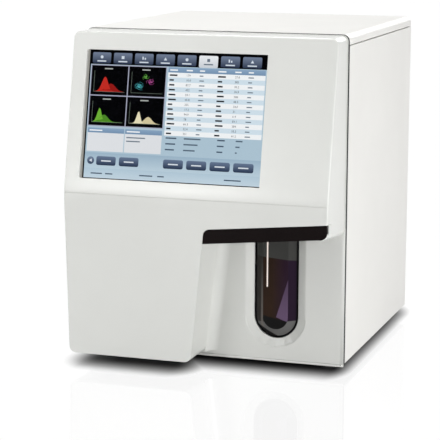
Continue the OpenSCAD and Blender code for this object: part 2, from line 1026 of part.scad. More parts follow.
module probe_frame() {
  color("silver")
    translate([key_x, 0, z_case])
      difference() {
        union() {
          span([-lift_half, y_wall - lift_plate, lift_low], [lift_half, y_wall, lift_high + lift_plate]);
          for (h = [lift_low, lift_high])
            span([-lift_half, y_lift - 26, h], [lift_half, y_wall, h + lift_plate]);
        }
        bar_z([0, y_lift, 0], screw_r + run_gap, far);
      }
}

module probe_guide_rods() {
  z_low = z_case + lift_low + lift_plate;
  color("silver")
    for (x = [-lift_rod_x, lift_rod_x])
      bar_z([key_x + x, y_lift, z_low], lift_rod_r, lift_high - lift_low - lift_plate);
}

module probe_lead_screw() {
  color("darkgray")
    bar_z([key_x, y_lift, z_case + lift_low], screw_r, lift_high - lift_low + lift_plate - screw_gap);
}

module probe_motor() {
  color([0.2, 0.2, 0.22])
    stepper([key_x, y_lift, z_case + lift_high + lift_plate]);
}

module syringe_frame() {
  color("silver")
    translate([syringe_x, 0, z_case])
      difference() {
        union() {
          span(
            [-syringe_half, y_wall - lift_plate, syringe_low],
            [syringe_half, y_wall, syringe_top + lift_plate]
          );
          for (h = [syringe_low, syringe_shelf, syringe_top])
            span([-syringe_half, y_syringe - 20, h], [syringe_half, y_wall, h + lift_plate]);
        }
        bar_z([0, y_syringe, 0], screw_r + run_gap, syringe_shelf + lift_plate + 1);
        for (x = [-syringe_pitch, syringe_pitch])
          bar_z([x, y_syringe, syringe_shelf - 1], plunger_r + run_gap, lift_plate + 2);
      }
}

module syringe_barrels() {
  color([0.85, 0.92, 0.95])
    for (x = [-syringe_pitch, syringe_pitch])
      translate([syringe_x + x, y_syringe, z_case + syringe_shelf + lift_plate])
        difference() {
          cylinder(r = syringe_r, h = syringe_l + syringe_end);
          translate([0, 0, -1])
            cylinder(r = syringe_bore, h = syringe_l + 1);
        }
}

module syringe_plungers() {
  z_rod = z_case + yoke_low + yoke_h;
  z_piston = z_case + syringe_shelf + lift_plate + piston_rise;
  color("white")
    for (x = [-syringe_pitch, syringe_pitch])
      translate([syringe_x + x, y_syringe, 0]) {
        bar_z([0, 0, z_rod], plunger_r, z_piston - z_rod + 1);
        bar_z([0, 0, z_piston], syringe_bore - run_gap, piston_h);
      }
}

module plunger_yoke() {
  half = syringe_pitch + plunger_r + 3;
  color("gray")
    translate([syringe_x, y_syringe, z_case + yoke_low])
      difference() {
        span([-half, -9, 0], [half, 9, yoke_h]);
        bar_z([0, 0, -1], screw_r + run_gap, yoke_h + 2);
        for (x = [-syringe_rod_x, syringe_rod_x])
          bar_z([x, 0, -1], syringe_rod_r + run_gap, yoke_h + 2);
      }
}

module syringe_guide_rods() {
  z_low = z_case + syringe_low + lift_plate;
  color("silver")
    for (x = [-syringe_rod_x, syringe_rod_x])
      bar_z([syringe_x + x, y_syringe, z_low], syringe_rod_r, syringe_shelf - syringe_low - lift_plate);
}

module syringe_lead_screw() {
  color("darkgray")
    bar_z(
      [syringe_x, y_syringe, z_case + syringe_low + screw_gap],
      screw_r,
      syringe_shelf + lift_plate - syringe_low - screw_gap
    );
}

module syringe_motor() {
  color([0.2, 0.2, 0.22])
    stepper([syringe_x, y_syringe, z_case + syringe_low - motor_h]);
}

module bath_bracket() {
  half = bath_pitch / 2 + bath_r + 6;
  color("silver")
    translate([bath_x, 0, z_case + bath_shelf])
      difference() {
        union() {
          span([-half, y_wall - bath_shelf_d, 0], [half, y_wall, sheet_t]);
          span([-half, y_wall - sheet_t, -24], [half, y_wall, 0]);
        }
        for (x = [-bath_pitch / 2, bath_pitch / 2])
          bar_z([x, y_bath, -1], bath_r + screw_gap, sheet_t + 2);
      }
}

// Counting bath: a cup with a rim that hangs in the shelf and a drain below
module bath(x) {
  drain_r = 3;
  inner = bath_r - bath_wall;
  translate([bath_x + x, y_bath, z_case + bath_shelf + sheet_t - bath_h])
    rotate_extrude()
      polygon([
        [1.5, -12], [drain_r, -12], [drain_r, -2], [bath_r, 6], [bath_r, bath_h], [bath_r + bath_rim, bath_h],
        [bath_r + bath_rim, bath_h + bath_rim], [inner, bath_h + bath_rim], [inner, 8], [1.5, 1]
      ]);
}

module wbc_bath() {
  color([0.9, 0.93, 0.95])
    bath(-bath_pitch / 2);
}

module rbc_bath() {
  color([0.9, 0.93, 0.95])
    bath(bath_pitch / 2);
}

module valve_manifold() {
  color([0.85, 0.85, 0.8])
    span(
      [valve_x - manifold_half, y_wall - manifold_d, z_case + valve_low],
      [valve_x + manifold_half, y_wall, z_case + valve_low + manifold_h]
    );
}

module solenoid_valves() {
  color([0.3, 0.3, 0.33])
    for (i = [0:valve_count - 1])
      bar_y(
        [
          valve_x + (i - (valve_count - 1) / 2) * valve_pitch,
          y_wall - manifold_d - valve_l,
          z_case + valve_low + manifold_h / 2
        ],
        valve_r,
        valve_l
      );
}

module vacuum_chamber() {
  neck = 7;
  color([0.85, 0.87, 0.88])
    translate([chamber_x, chamber_y, z_floor])
      rotate_extrude()
        polygon([
          [0, 0], [chamber_r, 0], [chamber_r, chamber_h - 14], [chamber_r - 8, chamber_h - 4],
          [neck, chamber_h], [neck, chamber_h + 10], [0, chamber_h + 10]
        ]);
}

module waste_pump() {
  color([0.25, 0.25, 0.27])
    difference() {
      span(
        [pump_x - pump_w / 2, pump_y - pump_d / 2, z_floor],
        [pump_x + pump_w / 2, pump_y + pump_d / 2, z_floor + pump_h]
      );
      for (x = [-10, 10])
        bar_y([pump_x + x, pump_y - pump_d / 2 - 1, z_floor + pump_h - 8], 2.5, 12);
    }
}

module pump_motor() {
  color("gray")
    bar_y([pump_x, pump_y + pump_d / 2, z_floor + pump_h / 2], pump_motor_r, pump_motor_l);
}

// Places of the fluid ports on the rear panel
module at_ports() {
  for (i = [0:port_count - 1])
    translate([ports_x + i * port_pitch, 0, z_case + ports_h])
      children();
}

module fluid_ports() {
  inside = 16;
  nut_in = 4;
  color([0.85, 0.85, 0.82])
    at_ports()
      difference() {
        union() {
          bar_y([0, y_rear, 0], port_nut_r, port_nut_h);
          bar_y([0, y_sheet - nut_in, 0], port_nut_r, nut_in);
          bar_y([0, y_sheet - nut_in, 0], port_nut_r - 2 - screw_gap, nut_in + sheet_t + port_nut_h);
          bar_y([0, y_sheet - inside, 0], port_r, inside + sheet_t + port_out);
        }
        bar_y([0, y_sheet - inside - 1, 0], port_r / 2, inside + sheet_t + port_out + 2);
      }
}

module optical_base() {
  color("darkgray")
    span(
      [optic_x - optic_w / 2, optic_y - optic_d / 2, z_optic - optic_t],
      [optic_x + optic_w / 2, optic_y + optic_d / 2, z_optic]
    );
}

module optical_dampers() {
  color([0.15, 0.15, 0.15])
    for (x = [-1, 1])
      for (y = [-1, 1])
        bar_z(
          [optic_x + x * (optic_w / 2 - damper_r - 2), optic_y + y * (optic_d / 2 - damper_r - 2), z_floor],
          damper_r,
          damper_h
        );
}

module laser_housing() {
  color([0.2, 0.2, 0.22])
    translate([optic_x - optic_w / 2 + 6, optic_y, z_optic])
      union() {
        span([0, -laser_w / 2, 0], [laser_l, laser_w / 2, laser_h]);
        bar_x([laser_l, 0, beam_h], nose_r, nose_l);
      }
}

module flow_cell() {
  color([0.8, 0.85, 0.9])
    translate([optic_x + cell_x, optic_y, z_optic])
      difference() {
        span([-cell_w / 2, -cell_d / 2, 0], [cell_w / 2, cell_d / 2, cell_h]);
        bar_x([-cell_w, 0, beam_h], cell_bore, 2 * cell_w);
        bar_z([0, 0, beam_h + cell_bore + 2], cell_bore / 2, cell_h);
      }
}

module detector_housing() {
  color([0.2, 0.2, 0.22])
    translate([optic_x + detector_x, optic_y, z_optic])
      difference() {
        span([0, -detector_w / 2, 0], [detector_l, detector_w / 2, detector_h]);
        bar_x([-1, 0, beam_h], nose_r - 2, detector_l / 3);
      }
}

module main_board() {
  y_face = y_board_side + standoff_l;
  chips = [[30, 40, 28, 28], [80, 44, 40, 22], [140, 90, 24, 40], [40, 110, 50, 16], [110, 130, 18, 18]];
  color([0.1, 0.35, 0.2])
    translate([board_x - board_w / 2, 0, z_case + board_low]) {
      span([0, y_face, 0], [board_w, y_face + board_t, board_h]);
      for (c = chips)
        span([c[0], y_face + board_t / 2, c[1]], [c[0] + c[2], y_face + board_t + 2.5, c[1] + c[3]]);
    }
}

module board_standoffs() {
  color("goldenrod")
    for (x = [standoff_edge, board_w - standoff_edge])
      for (h = [standoff_edge, board_h - standoff_edge])
        bar_y([board_x - board_w / 2 + x, y_board_side, z_case + board_low + h], standoff_r, standoff_l);
}

module power_supply() {
  slot_pitch = 12;
  color("silver")
    translate([supply_x, y_sheet - supply_back, z_floor])
      difference() {
        span([-supply_w / 2, -supply_d, 0], [supply_w / 2, 0, supply_h]);
        for (x = [16 - supply_w / 2:slot_pitch:supply_w / 2 - 16])
          span([x, 12 - supply_d, supply_h - 2], [x + 5, -12, supply_h + 1]);
      }
}

module fan_frame() {
  half = fan_w / 2;
  y_spider = y_sheet - fan_d;
  color([0.1, 0.1, 0.1])
    translate([fan_x, 0, z_case + fan_h])
      difference() {
        union() {
          difference() {
            span([-half, y_spider, -half], [half, y_sheet, half]);
            bar_y([0, y_spider - 1, 0], fan_hole_r, fan_d + 2);
          }
          for (a = [0:90:270])
            rotate([0, a, 0])
              span([hub_r - 4, y_spider, -2], [fan_hole_r + 1, y_spider + 3, 2]);
          bar_y([0, y_spider, 0], hub_r, 3);
        }
        bar_y([0, y_spider - 1, 0], fan_shaft_r + run_gap, fan_d);
      }
}

module fan_rotor() {
  blade_pitch = 35;
  y_low = y_sheet - fan_d + 4;
  color([0.1, 0.1, 0.1])
    translate([fan_x, 0, z_case + fan_h]) {
      bar_y([0, y_sheet - fan_d, 0], fan_shaft_r, 8);
      bar_y([0, y_low, 0], hub_r, fan_d - 8);
      intersection() {
        for (i = [0:blade_count - 1])
          rotate([0, i * 360 / blade_count, 0])
            translate([hub_r - 2, y_sheet - fan_d / 2, 0])
              rotate([blade_pitch, 0, 0])
                translate([0, -fan_d, -1])
                  cube([fan_tip_r, 2 * fan_d, 2]);
        bar_y([0, y_low, 0], fan_tip_r, fan_d - 8);
      }
    }
}

module fan_guard() {
  half = fan_w / 2;
  pitch = (fan_hole_r - guard_wire) / guard_rings;
  color("silver")
    translate([fan_x, y_rear, z_case + fan_h]) {
      for (i = [1:guard_rings])
        rotate([-90, 0, 0])
          difference() {
            cylinder(r = i * pitch + guard_wire, h = 2 * guard_wire);
            translate([0, 0, -1])
              cylinder(r = i * pitch - guard_wire, h = 2 * guard_wire + 2);
          }
      for (a = [45:90:315])
        rotate([0, a, 0])
          span([pitch, 0, -guard_wire], [half * sqrt(2) - 4, 2 * guard_wire, guard_wire]);
    }
}

module power_inlet() {
  inside = 22;
  edge = inlet_lap + screw_gap;
  pins = [[0, 4], [-7, 0], [7, 0]];
  pin_w = 2;
  pin_h = 5;
  slot_w = rocker_w + 2 * run_gap;
  color([0.1, 0.1, 0.1])
    translate([inlet_x, y_rear, z_case + inlet_h])
      difference() {
        union() {
          span([-inlet_w / 2, 0, -inlet_high / 2], [inlet_w / 2, inlet_flange, inlet_high / 2]);
          span(
            [edge - inlet_w / 2, -inside, edge - inlet_high / 2],
            [inlet_w / 2 - edge, 0, inlet_high / 2 - edge]
          );
        }
        difference() {
          translate([socket_x - socket_w / 2, inlet_flange - socket_d, -socket_high / 2])
            cube([socket_w, socket_d + 1, socket_high]);
          for (p = pins)
            span(
              [socket_x + p.x - pin_w / 2, inlet_flange - socket_d - 1, p.y - pin_h / 2],
              [socket_x + p.x + pin_w / 2, inlet_flange - 4, p.y + pin_h / 2]
            );
        }
        span(
          [rocker_x - slot_w / 2, 6 - inside, -rocker_high / 2],
          [rocker_x + slot_w / 2, inlet_flange + 1, rocker_high / 2]
        );
        bar_x([rocker_x - slot_w / 2 - 2, 0, 0], rocker_pin_r + run_gap, slot_w + 4);
      }
}

// Rocker in its off position, tipped back from its middle
module power_rocker() {
  reach = rocker_high / 2 - 1;
  color([0.08, 0.08, 0.08])
    translate([inlet_x + rocker_x, y_rear, z_case + inlet_h])
      rotate([-rocker_tip, 0, 0])
        union() {
          translate([-rocker_w / 2, 0, 0])
            rotate([90, 0, 90])
              linear_extrude(rocker_w)
                polygon([
                  [-rocker_d / 2, -reach / 2], [inlet_flange + 2.4, -reach], [inlet_flange + 0.6, 0],
                  [inlet_flange + 2.4, reach], [-rocker_d / 2, reach / 2]
                ]);
          bar_x([-rocker_w / 2 - 1.5, 0, 0], rocker_pin_r, rocker_w + 3);
        }
}

// Places of the data jacks, each with its mouth's size
module at_jacks(wall) {
  gap = 2 * wall + 0.6;
  for (i = [0, 1])
    for (k = [0, 1]) {
      $jack_w = usb_w;
      $jack_h = usb_high;
      translate([data_x + i * (usb_w + gap), 0, z_case + data_h + k * (usb_high + gap)])
        children();
    }
  $jack_w = lan_w;
  $jack_h = lan_high;
  translate([data_x + 2 * (usb_w + gap) + 4, 0, z_case + data_h + 1])
    children();
}

module data_ports() {
  lip = 2;
  color("silver")
    at_jacks(jack_wall)
      difference() {
        union() {
          span(
            [-$jack_w / 2 - jack_wall + 0.15, y_rear - jack_d - lip, -$jack_h / 2 - jack_wall + 0.15],
            [$jack_w / 2 + jack_wall - 0.15, y_rear, $jack_h / 2 + jack_wall - 0.15]
          );
        }
        span([-$jack_w / 2, y_rear - jack_d, -$jack_h / 2], [$jack_w / 2, y_rear + 1, $jack_h / 2]);
      }
}

front_frame();
screen_panel();
lower_front_cover();
bay_visor();
right_side_panel();
left_side_panel();
top_cover();
rear_panel();
base_plate();
centre_wall();
feet();
foot_screws();
rear_screws();
touch_glass();
lcd_module();
lcd_bracket();
aspirate_key();
key_pivot_pin();
key_bracket();
switch_bracket();
key_switch();
key_spring();
sample_probe();
probe_wipe();
probe_carriage();
probe_frame();
probe_guide_rods();
probe_lead_screw();
probe_motor();
syringe_frame();
syringe_barrels();
syringe_plungers();
plunger_yoke();
syringe_guide_rods();
syringe_lead_screw();
syringe_motor();
bath_bracket();
wbc_bath();
rbc_bath();
valve_manifold();
solenoid_valves();
vacuum_chamber();
waste_pump();
pump_motor();
fluid_ports();
optical_base();
optical_dampers();
laser_housing();
flow_cell();
detector_housing();
main_board();
board_standoffs();
power_supply();
fan_frame();
fan_rotor();
fan_guard();
power_inlet();
power_rocker();
data_ports();
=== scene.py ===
"""Looks of a bench hematology analyzer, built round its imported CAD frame.

Shapes are written in millimetres on the frame's own axes, X right, Y back and Z up, and
turned into metres when a piece is made.
"""

import json
import logging
import math
from dataclasses import dataclass, field
from enum import Enum
from typing import Callable, ClassVar, Iterable, Optional, Sequence, Union

import bmesh
import bpy
from mathutils import Matrix, Vector


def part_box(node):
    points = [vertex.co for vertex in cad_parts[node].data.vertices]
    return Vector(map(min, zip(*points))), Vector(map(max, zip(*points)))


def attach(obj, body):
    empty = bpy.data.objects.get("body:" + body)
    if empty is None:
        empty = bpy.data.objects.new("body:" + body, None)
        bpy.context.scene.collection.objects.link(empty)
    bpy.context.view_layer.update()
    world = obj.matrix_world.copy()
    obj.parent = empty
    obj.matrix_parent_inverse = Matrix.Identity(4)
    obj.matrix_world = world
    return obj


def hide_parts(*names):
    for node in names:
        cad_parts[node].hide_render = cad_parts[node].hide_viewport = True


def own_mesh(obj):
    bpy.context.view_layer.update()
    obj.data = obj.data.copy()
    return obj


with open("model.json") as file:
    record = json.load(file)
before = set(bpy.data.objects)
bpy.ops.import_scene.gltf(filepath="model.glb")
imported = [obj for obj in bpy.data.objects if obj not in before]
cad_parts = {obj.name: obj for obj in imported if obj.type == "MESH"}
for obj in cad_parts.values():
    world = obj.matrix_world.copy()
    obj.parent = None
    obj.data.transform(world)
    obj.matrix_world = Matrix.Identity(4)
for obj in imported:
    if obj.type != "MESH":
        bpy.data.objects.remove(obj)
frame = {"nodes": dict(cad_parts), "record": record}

LOG = logging.getLogger("analyzer")
MM = 0.001

# How far a cutter stands out of what it cuts, the slack of a test of place, and the gap of two flush faces.
OVER = 1.0
SLACK = 0.2
FLUSH = 0.02

Colour = tuple[int, int, int]
Tone = tuple[float, float, float, float]
Flat = tuple[float, float]
Point = Sequence[float]
Band = tuple[float, float, float, float]
Socket = bpy.types.NodeSocket
Feed = dict[Union[str, int], object]
Pick = Callable[[Vector, Vector], bool]

WHITE: Tone = (1.0, 1.0, 1.0, 1.0)


class Body(Enum):
    """Bodies of the frame that pieces ride on."""

    CHASSIS = "chassis"
    KEY = "key"
    PROBE_SCREW = "probe_screw"
    PLUNGER_SCREW = "plunger_screw"
    ROCKER = "rocker"


def linear(colour: Colour) -> Tone:
    """Turns an 8-bit screen colour into the linear colour that shaders take.

    Args:
        colour: Red, green and blue from 0 to 255.

    Returns:
        Linear red, green, blue and full alpha.
    """

    def channel(value: int) -> float:
        """Linear value of one 8-bit channel."""
        share = value / 255
        return share / 12.92 if share <= 0.04045 else ((share + 0.055) / 1.055) ** 2.4

    return (channel(colour[0]), channel(colour[1]), channel(colour[2]), 1.0)


def shaded(colour: Colour, factor: float) -> Tone:
    """Linear colour made darker or lighter by a factor."""
    red, green, blue, alpha = linear(colour)
    return (min(red * factor, 1.0), min(green * factor, 1.0), min(blue * factor, 1.0), alpha)


def grey(level: float) -> Tone:
    """Linear grey of a level."""
    return (level, level, level, 1.0)


def feed(node: bpy.types.Node, inputs: Feed) -> bpy.types.Node:
    """Feeds a node's inputs.

    Args:
        node: The node.
        inputs: Values or sockets by input name or number.

    Returns:
        The same node.
    """
    for name, value in inputs.items():
        if isinstance(value, Socket):
            node.id_data.links.new(value, node.inputs[name])
        else:
            node.inputs[name].default_value = value
    return node


def add_node(tree: bpy.types.NodeTree, kind: str, inputs: Optional[Feed] = None, **settings: object
             ) -> bpy.types.Node:
    """Adds a node to a tree.

    Args:
        tree: The tree.
        kind: Type name of the node.
        inputs: Values or sockets by input name or number.
        settings: Node settings by name.

    Returns:
        The new node.
    """
    node = tree.nodes.new(kind)
    for name, value in settings.items():
        setattr(node, name, value)
    return feed(node, inputs or {})


class Shader:
    """Node tree of one material, with its surface shader and its object coordinates."""

    def __init__(self, material: bpy.types.Material) -> None:
        """Takes over a new material's tree."""
        material.use_nodes = True
        self.tree = material.node_tree
        self.surface = self.tree.nodes["Principled BSDF"]
        self.place = self.add("ShaderNodeTexCoord").outputs["Object"]

    def add(self, kind: str, inputs: Optional[Feed] = None, **settings: object) -> bpy.types.Node:
        """Adds a node to this material, as add_node does."""
        return add_node(self.tree, kind, inputs, **settings)

    def mapped(self, scale: Point, turn: Point = (0, 0, 0)) -> Socket:
        """Object coordinates stretched and turned by a Mapping node."""
        node = self.add("ShaderNodeMapping", {"Vector": self.place, "Scale": scale, "Rotation": turn})
        return node.outputs["Vector"]

    def noise(self, place: Socket, scale: float, detail: float) -> Socket:
        """Soft noise of a scale per metre on some coordinates."""
        return self.add("ShaderNodeTexNoise", {"Vector": place, "Scale": scale, "Detail": detail}).outputs["Fac"]

    def ranged(self, source: Socket, low: float, high: float, start: float = 0.3, end: float = 0.7) -> Socket:
        """Spreads a source from start to end over low to high."""
        node = self.add("ShaderNodeMapRange", {"Value": source, "From Min": start, "From Max": end,
                                               "To Min": low, "To Max": high})
        return node.outputs["Result"]

    def mixed(self, share: object, first: object, second: object, blend: str = "MIX") -> Socket:
        """Mixes two colours by a share, each a plain value or a socket."""
        node = self.add("ShaderNodeMix", {"Factor": share}, data_type="RGBA", blend_type=blend)
        colours = [i for i, socket in enumerate(node.inputs) if socket.type == "RGBA"]
        feed(node, dict(zip(colours, (first, second))))
        return next(socket for socket in node.outputs if socket.type == "RGBA")

    def number(self, operation: str, *values: object) -> Socket:
        """Result of a Math node on values or sockets."""
        return self.add("ShaderNodeMath", dict(enumerate(values)), operation=operation).outputs[0]

    def vector(self, operation: str, *values: object) -> Socket:
        """Result of a Vector Math node on values or sockets."""
        node = self.add("ShaderNodeVectorMath", dict(enumerate(values)), operation=operation)
        return node.outputs["Value" if operation in ("LENGTH", "DOT_PRODUCT") else "Vector"]

    def bump(self, height: Socket, depth: float) -> None:
        """Raises the surface by a height pattern of some depth in millimetres."""
        node = self.add("ShaderNodeBump", {"Height": height, "Distance": depth * MM})
        feed(self.surface, {"Normal": node.outputs["Normal"]})

    def bricks(self, wide: float, high: float, gap: float, tones: Sequence[Tone], offset: float) -> Socket:
        """Rows of bricks in front view.

        Args:
            wide: Width of a brick in millimetres.
            high: Height of a row in millimetres.
            gap: Width of the mortar in millimetres.
            tones: Colours of both kinds of brick and of the mortar.
            offset: Share of a brick by which every second row is shifted.

        Returns:
            The colour.
        """
        first, second, between = tones
        upright = self.mapped((1, 1, 1), (math.radians(90), 0, 0))
        node = self.add("ShaderNodeTexBrick", {
            "Vector": upright, "Scale": 1.0, "Brick Width": wide * MM, "Row Height": high * MM,
            "Mortar Size": gap * MM, "Color1": first, "Color2": second, "Mortar": between}, offset=offset)
        return node.outputs["Color"]


@dataclass(frozen=True)
class Finish:
    """Surface finish with a slow drift of its colour and a fine grain.

    Attributes:
        name: Name of the material.
        colour: Colour from 0 to 255.
        roughness: Mean roughness.
        metallic: 1 for bare metal.
        specular: Level of the plain reflection.
        drift: Share by which the colour drifts.
        drift_scale: Scale of that drift per metre.
        drift_detail: Detail of that drift.
        grain_scale: Scale of the grain per metre.
        grain_depth: Depth of the grain in millimetres.
        grain_detail: Detail of the grain.
        grain_spread: Share of the grain in the roughness.
        stretch: Stretch of the grain.
    """

    name: str
    colour: Colour
    roughness: float = 0.5
    metallic: float = 0.0
    specular: float = 0.5
    drift: float = 0.02
    drift_scale: float = 9.0
    drift_detail: float = 3.0
    grain_scale: float = 1500.0
    grain_depth: float = 0.008
    grain_detail: float = 2.0
    grain_spread: float = 0.12
    stretch: tuple[float, float, float] = (1.0, 1.0, 1.0)

    def material(self) -> bpy.types.Material:
        """Returns this finish's material, made on its first use."""
        found = bpy.data.materials.get(self.name)
        if found:
            return found
        material = bpy.data.materials.new(self.name)
        shader = Shader(material)
        feed(shader.surface, {"Metallic": self.metallic, "Specular IOR Level": self.specular,
                              "Base Color": self.tint(shader)})
        self.texture(shader)
        self.extra(shader)
        material.diffuse_color = linear(self.colour)
        return material

    def drifting(self, shader: Shader) -> Socket:
        """Share from 0 to 1 that drifts slowly over the surface."""
        return shader.ranged(shader.noise(shader.place, self.drift_scale, self.drift_detail), 0.0, 1.0)

    def tint(self, shader: Shader) -> Socket:
        """Colour pattern: a slow drift between two near tones."""
        low, high = shaded(self.colour, 1 - self.drift), shaded(self.colour, 1 + self.drift)
        return shader.mixed(self.drifting(shader), low, high)

    def texture(self, shader: Shader) -> None:
        """Grain in the roughness and in the surface."""
        grain = shader.noise(shader.mapped(self.stretch), self.grain_scale, self.grain_detail)
        spread = self.grain_spread * self.roughness
        feed(shader.surface, {"Roughness": shader.ranged(grain, self.roughness - spread, self.roughness + spread)})
        shader.bump(grain, self.grain_depth)

    def extra(self, shader: Shader) -> None:
        """Anything that a kind of finish adds. The plain finish adds nothing."""


@dataclass(frozen=True)
class Tint:
    """Colour laid over part of the key.

    Attributes:
        colour: Colour from 0 to 255.
        bands: Soft steps that are multiplied with each other. Each holds a direction across and up in front
            view, and where along it the step starts and ends, in millimetres from the round end's centre.
    """

    colour: Colour
    bands: tuple[Band, ...]


@dataclass(frozen=True)
class SmokedPlastic(Finish):
    """Smoked polished plastic of the key, whose tint changes over its face, its flanks and its lower end. Over its own
    brown and purple tones lie painted reflections, a painted highlight and painted shade, which stand in for the
    reflections that its low specular level leaves out.

    Attributes:
        far: Tint of the face's right.
        sheen: Painted reflection: a paler wedge on the face's lower right.
        low: Painted shade: the face's lower end darkened nearly to black.
        left_colour: Colour of the left flank: the smoked tone made paler grey by a painted reflection.
        right: Tint of the right flank.
        lip: Painted reflection: the lower flank made paler grey, as the floor would show in it.
        ridge: Painted highlight: a pale glint line along the edge between the left flank and the face, brighter towards
            the bottom.
        crown: Painted reflection: the upper end made lighter grey.
        edge: Painted shadow: the outer edge darkened nearly to black, widest at the lower left, for the shaded gap
            round the key.
        middle: Centre of the key's round end on X and Z.
        face_r: Half width of the face.
        face_soft: Softness of its outline.
        edge_r: Half width where the painted shadow of the outer edge starts.
        edge_soft: Softness of that start.
    """

    drift_detail: float = 2.0
    far: Tint = Tint((44, 26, 42), ((1, 0, -4, 12),))
    # Painted reflection: a pale wedge on the face's lower right.
    sheen: Tint = Tint((104, 84, 112), ((0.955, -0.297, 0.9, 1.6), (0.364, 0.934, -0.6, 0.2), (0, -1, -110, 0)))
    # Painted shade: the face's lower end darkened nearly to black.
    low: Tint = Tint((15, 15, 15), ((-0.2, -1, 1.6, 3.0),))
    # Left flank: the smoked tone made paler grey by a painted reflection.
    left_colour: Colour = (54, 51, 49)
    right: Tint = Tint((38, 24, 42), ((1, 0, -2, 2),))
    # Painted reflection: the lower flank made paler grey.
    lip: Tint = Tint((102, 102, 101), ((0.08, -1, 5.5, 6.5),))
    # Painted highlight: a glint line along the left flank's inner edge, brighter towards the bottom.
    ridge: Tint = Tint((116, 110, 106), ((1, 0, -18.6, -17.4), (-1, 0, 14.9, 15.2), (0.4, -1, -80, 10)))
    # Painted reflection: the upper end made lighter grey.
    crown: Tint = Tint((66, 66, 64), ((0.08, 1, 68.9, 70.1),))
    # Painted shadow: the outer edge darkened nearly to black, widest at the lower left.
    edge: Tint = Tint((13, 12, 13), ((-0.5, -0.87, 19.6, 20.4),))
    middle: Flat = (76.0, 64.0)
    face_r: float = 15.3
    face_soft: float = 0.15
    edge_r: float = 24.1
    edge_soft: float = 0.3

    def tint(self, shader: Shader) -> Socket:
        """Lays the tints of the face, the flanks and the edge one over the other: the own tones, then the painted
        reflections, highlight and shade.
        """
        x, z = self.middle

        def share(tint: Tint) -> Socket:
            """Product of a tint's soft steps."""
            last: Optional[Socket] = None
            for across, up, low, high in tint.bands:
                rest = x * across + z * up
                place = shader.vector("DOT_PRODUCT", shader.place, (across, 0.0, up))
                step = shader.ranged(place, 0.0, 1.0, (low + rest) * MM, (high + rest) * MM)
                last = step if last is None else shader.number("MULTIPLY", last, step)
            return last

        def over(ground: object, tint: Tint) -> Socket:
            """Lays a tint over a ground."""
            return shader.mixed(share(tint), ground, linear(tint.colour))

        def outside(radius: float, soft: float) -> Socket:
            """Share outside a U of a radius."""
            place = shader.vector("SUBTRACT", shader.place, (x * MM, 0, z * MM))
            place = shader.vector("MULTIPLY", shader.vector("MINIMUM", place, (1, 0, 0)), (1, 0, 1))
            length = shader.vector("LENGTH", place)
            return shader.ranged(length, 0.0, 1.0, (radius - soft) * MM, (radius + soft) * MM)

        face = over(over(over(super().tint(shader), self.far), self.sheen), self.low)
        flank = over(over(linear(self.left_colour), self.right), self.lip)
        made = shader.mixed(outside(self.face_r, self.face_soft), face, flank)
        made = over(over(made, self.ridge), self.crown)
        # Painted shadow: the outer edge and the band at its lower left are darkened nearly to black.
        edge = shader.number("MAXIMUM", outside(self.edge_r, self.edge_soft), share(self.edge))
        return shader.mixed(edge, made, linear(self.edge.colour))


@dataclass(frozen=True)
class ClearGlass(Finish):
    """Clear glass or clear plastic.

    Attributes:
        ior: Index of refraction.
    """

    ior: float = 1.45

    def extra(self, shader: Shader) -> None:
        """Lets light through."""
        feed(shader.surface, {"Transmission Weight": 1.0, "IOR": self.ior})


@dataclass(frozen=True)
class LitPicture(Finish):
    """Lit picture of the display, with the colours of its mesh and a fine pixel grid.

    Attributes:
        shade: Factor of the ground's darker tone.
        strength: Strength of the light.
        pixel: Pitch of the pixel grid.
        line: Width of the grid's lines.
        line_level: Light that the lines let through.
    """

    drift_detail: float = 1.0
    shade: float = 0.8
    strength: float = 1.0
    pixel: float = 0.27
    line: float = 0.02
    line_level: float = 0.9

    def tint(self, shader: Shader) -> Socket:
        """Dark ground under the light."""
        return shader.mixed(self.drifting(shader), shaded(self.colour, self.shade), linear(self.colour))

    def extra(self, shader: Shader) -> None:
        """Lights the mesh's own colours through the pixel grid."""
        colours = shader.add("ShaderNodeAttribute", attribute_name=Picture.ATTRIBUTE)
        grid = shader.bricks(self.pixel, self.pixel, self.line, (WHITE, WHITE, grey(self.line_level)), 0.0)
        lit = shader.mixed(1.0, colours.outputs["Color"], grid, "MULTIPLY")
        feed(shader.surface, {"Emission Color": lit, "Emission Strength": self.strength})


@dataclass(frozen=True)
class CircuitBoard(Finish):
    """Solder mask with paler copper runs under it.

    Attributes:
        copper: Colour of the runs.
        run: Pitch of the runs.
        run_length: Length of a run.
        run_width: Width of a run.
        run_shift: Shift of every second run.
    """

    drift: float = 0.1
    copper: Colour = (60, 120, 70)
    run: float = 3.0
    run_length: float = 24.0
    run_width: float = 0.25
    run_shift: float = 0.37

    def tint(self, shader: Shader) -> Socket:
        """Stepped runs across the board."""
        tones = (shaded(self.colour, 1 - self.drift), shaded(self.colour, 1 + self.drift), linear(self.copper))
        return shader.bricks(self.run_length, self.run, self.run_width, tones, self.run_shift)


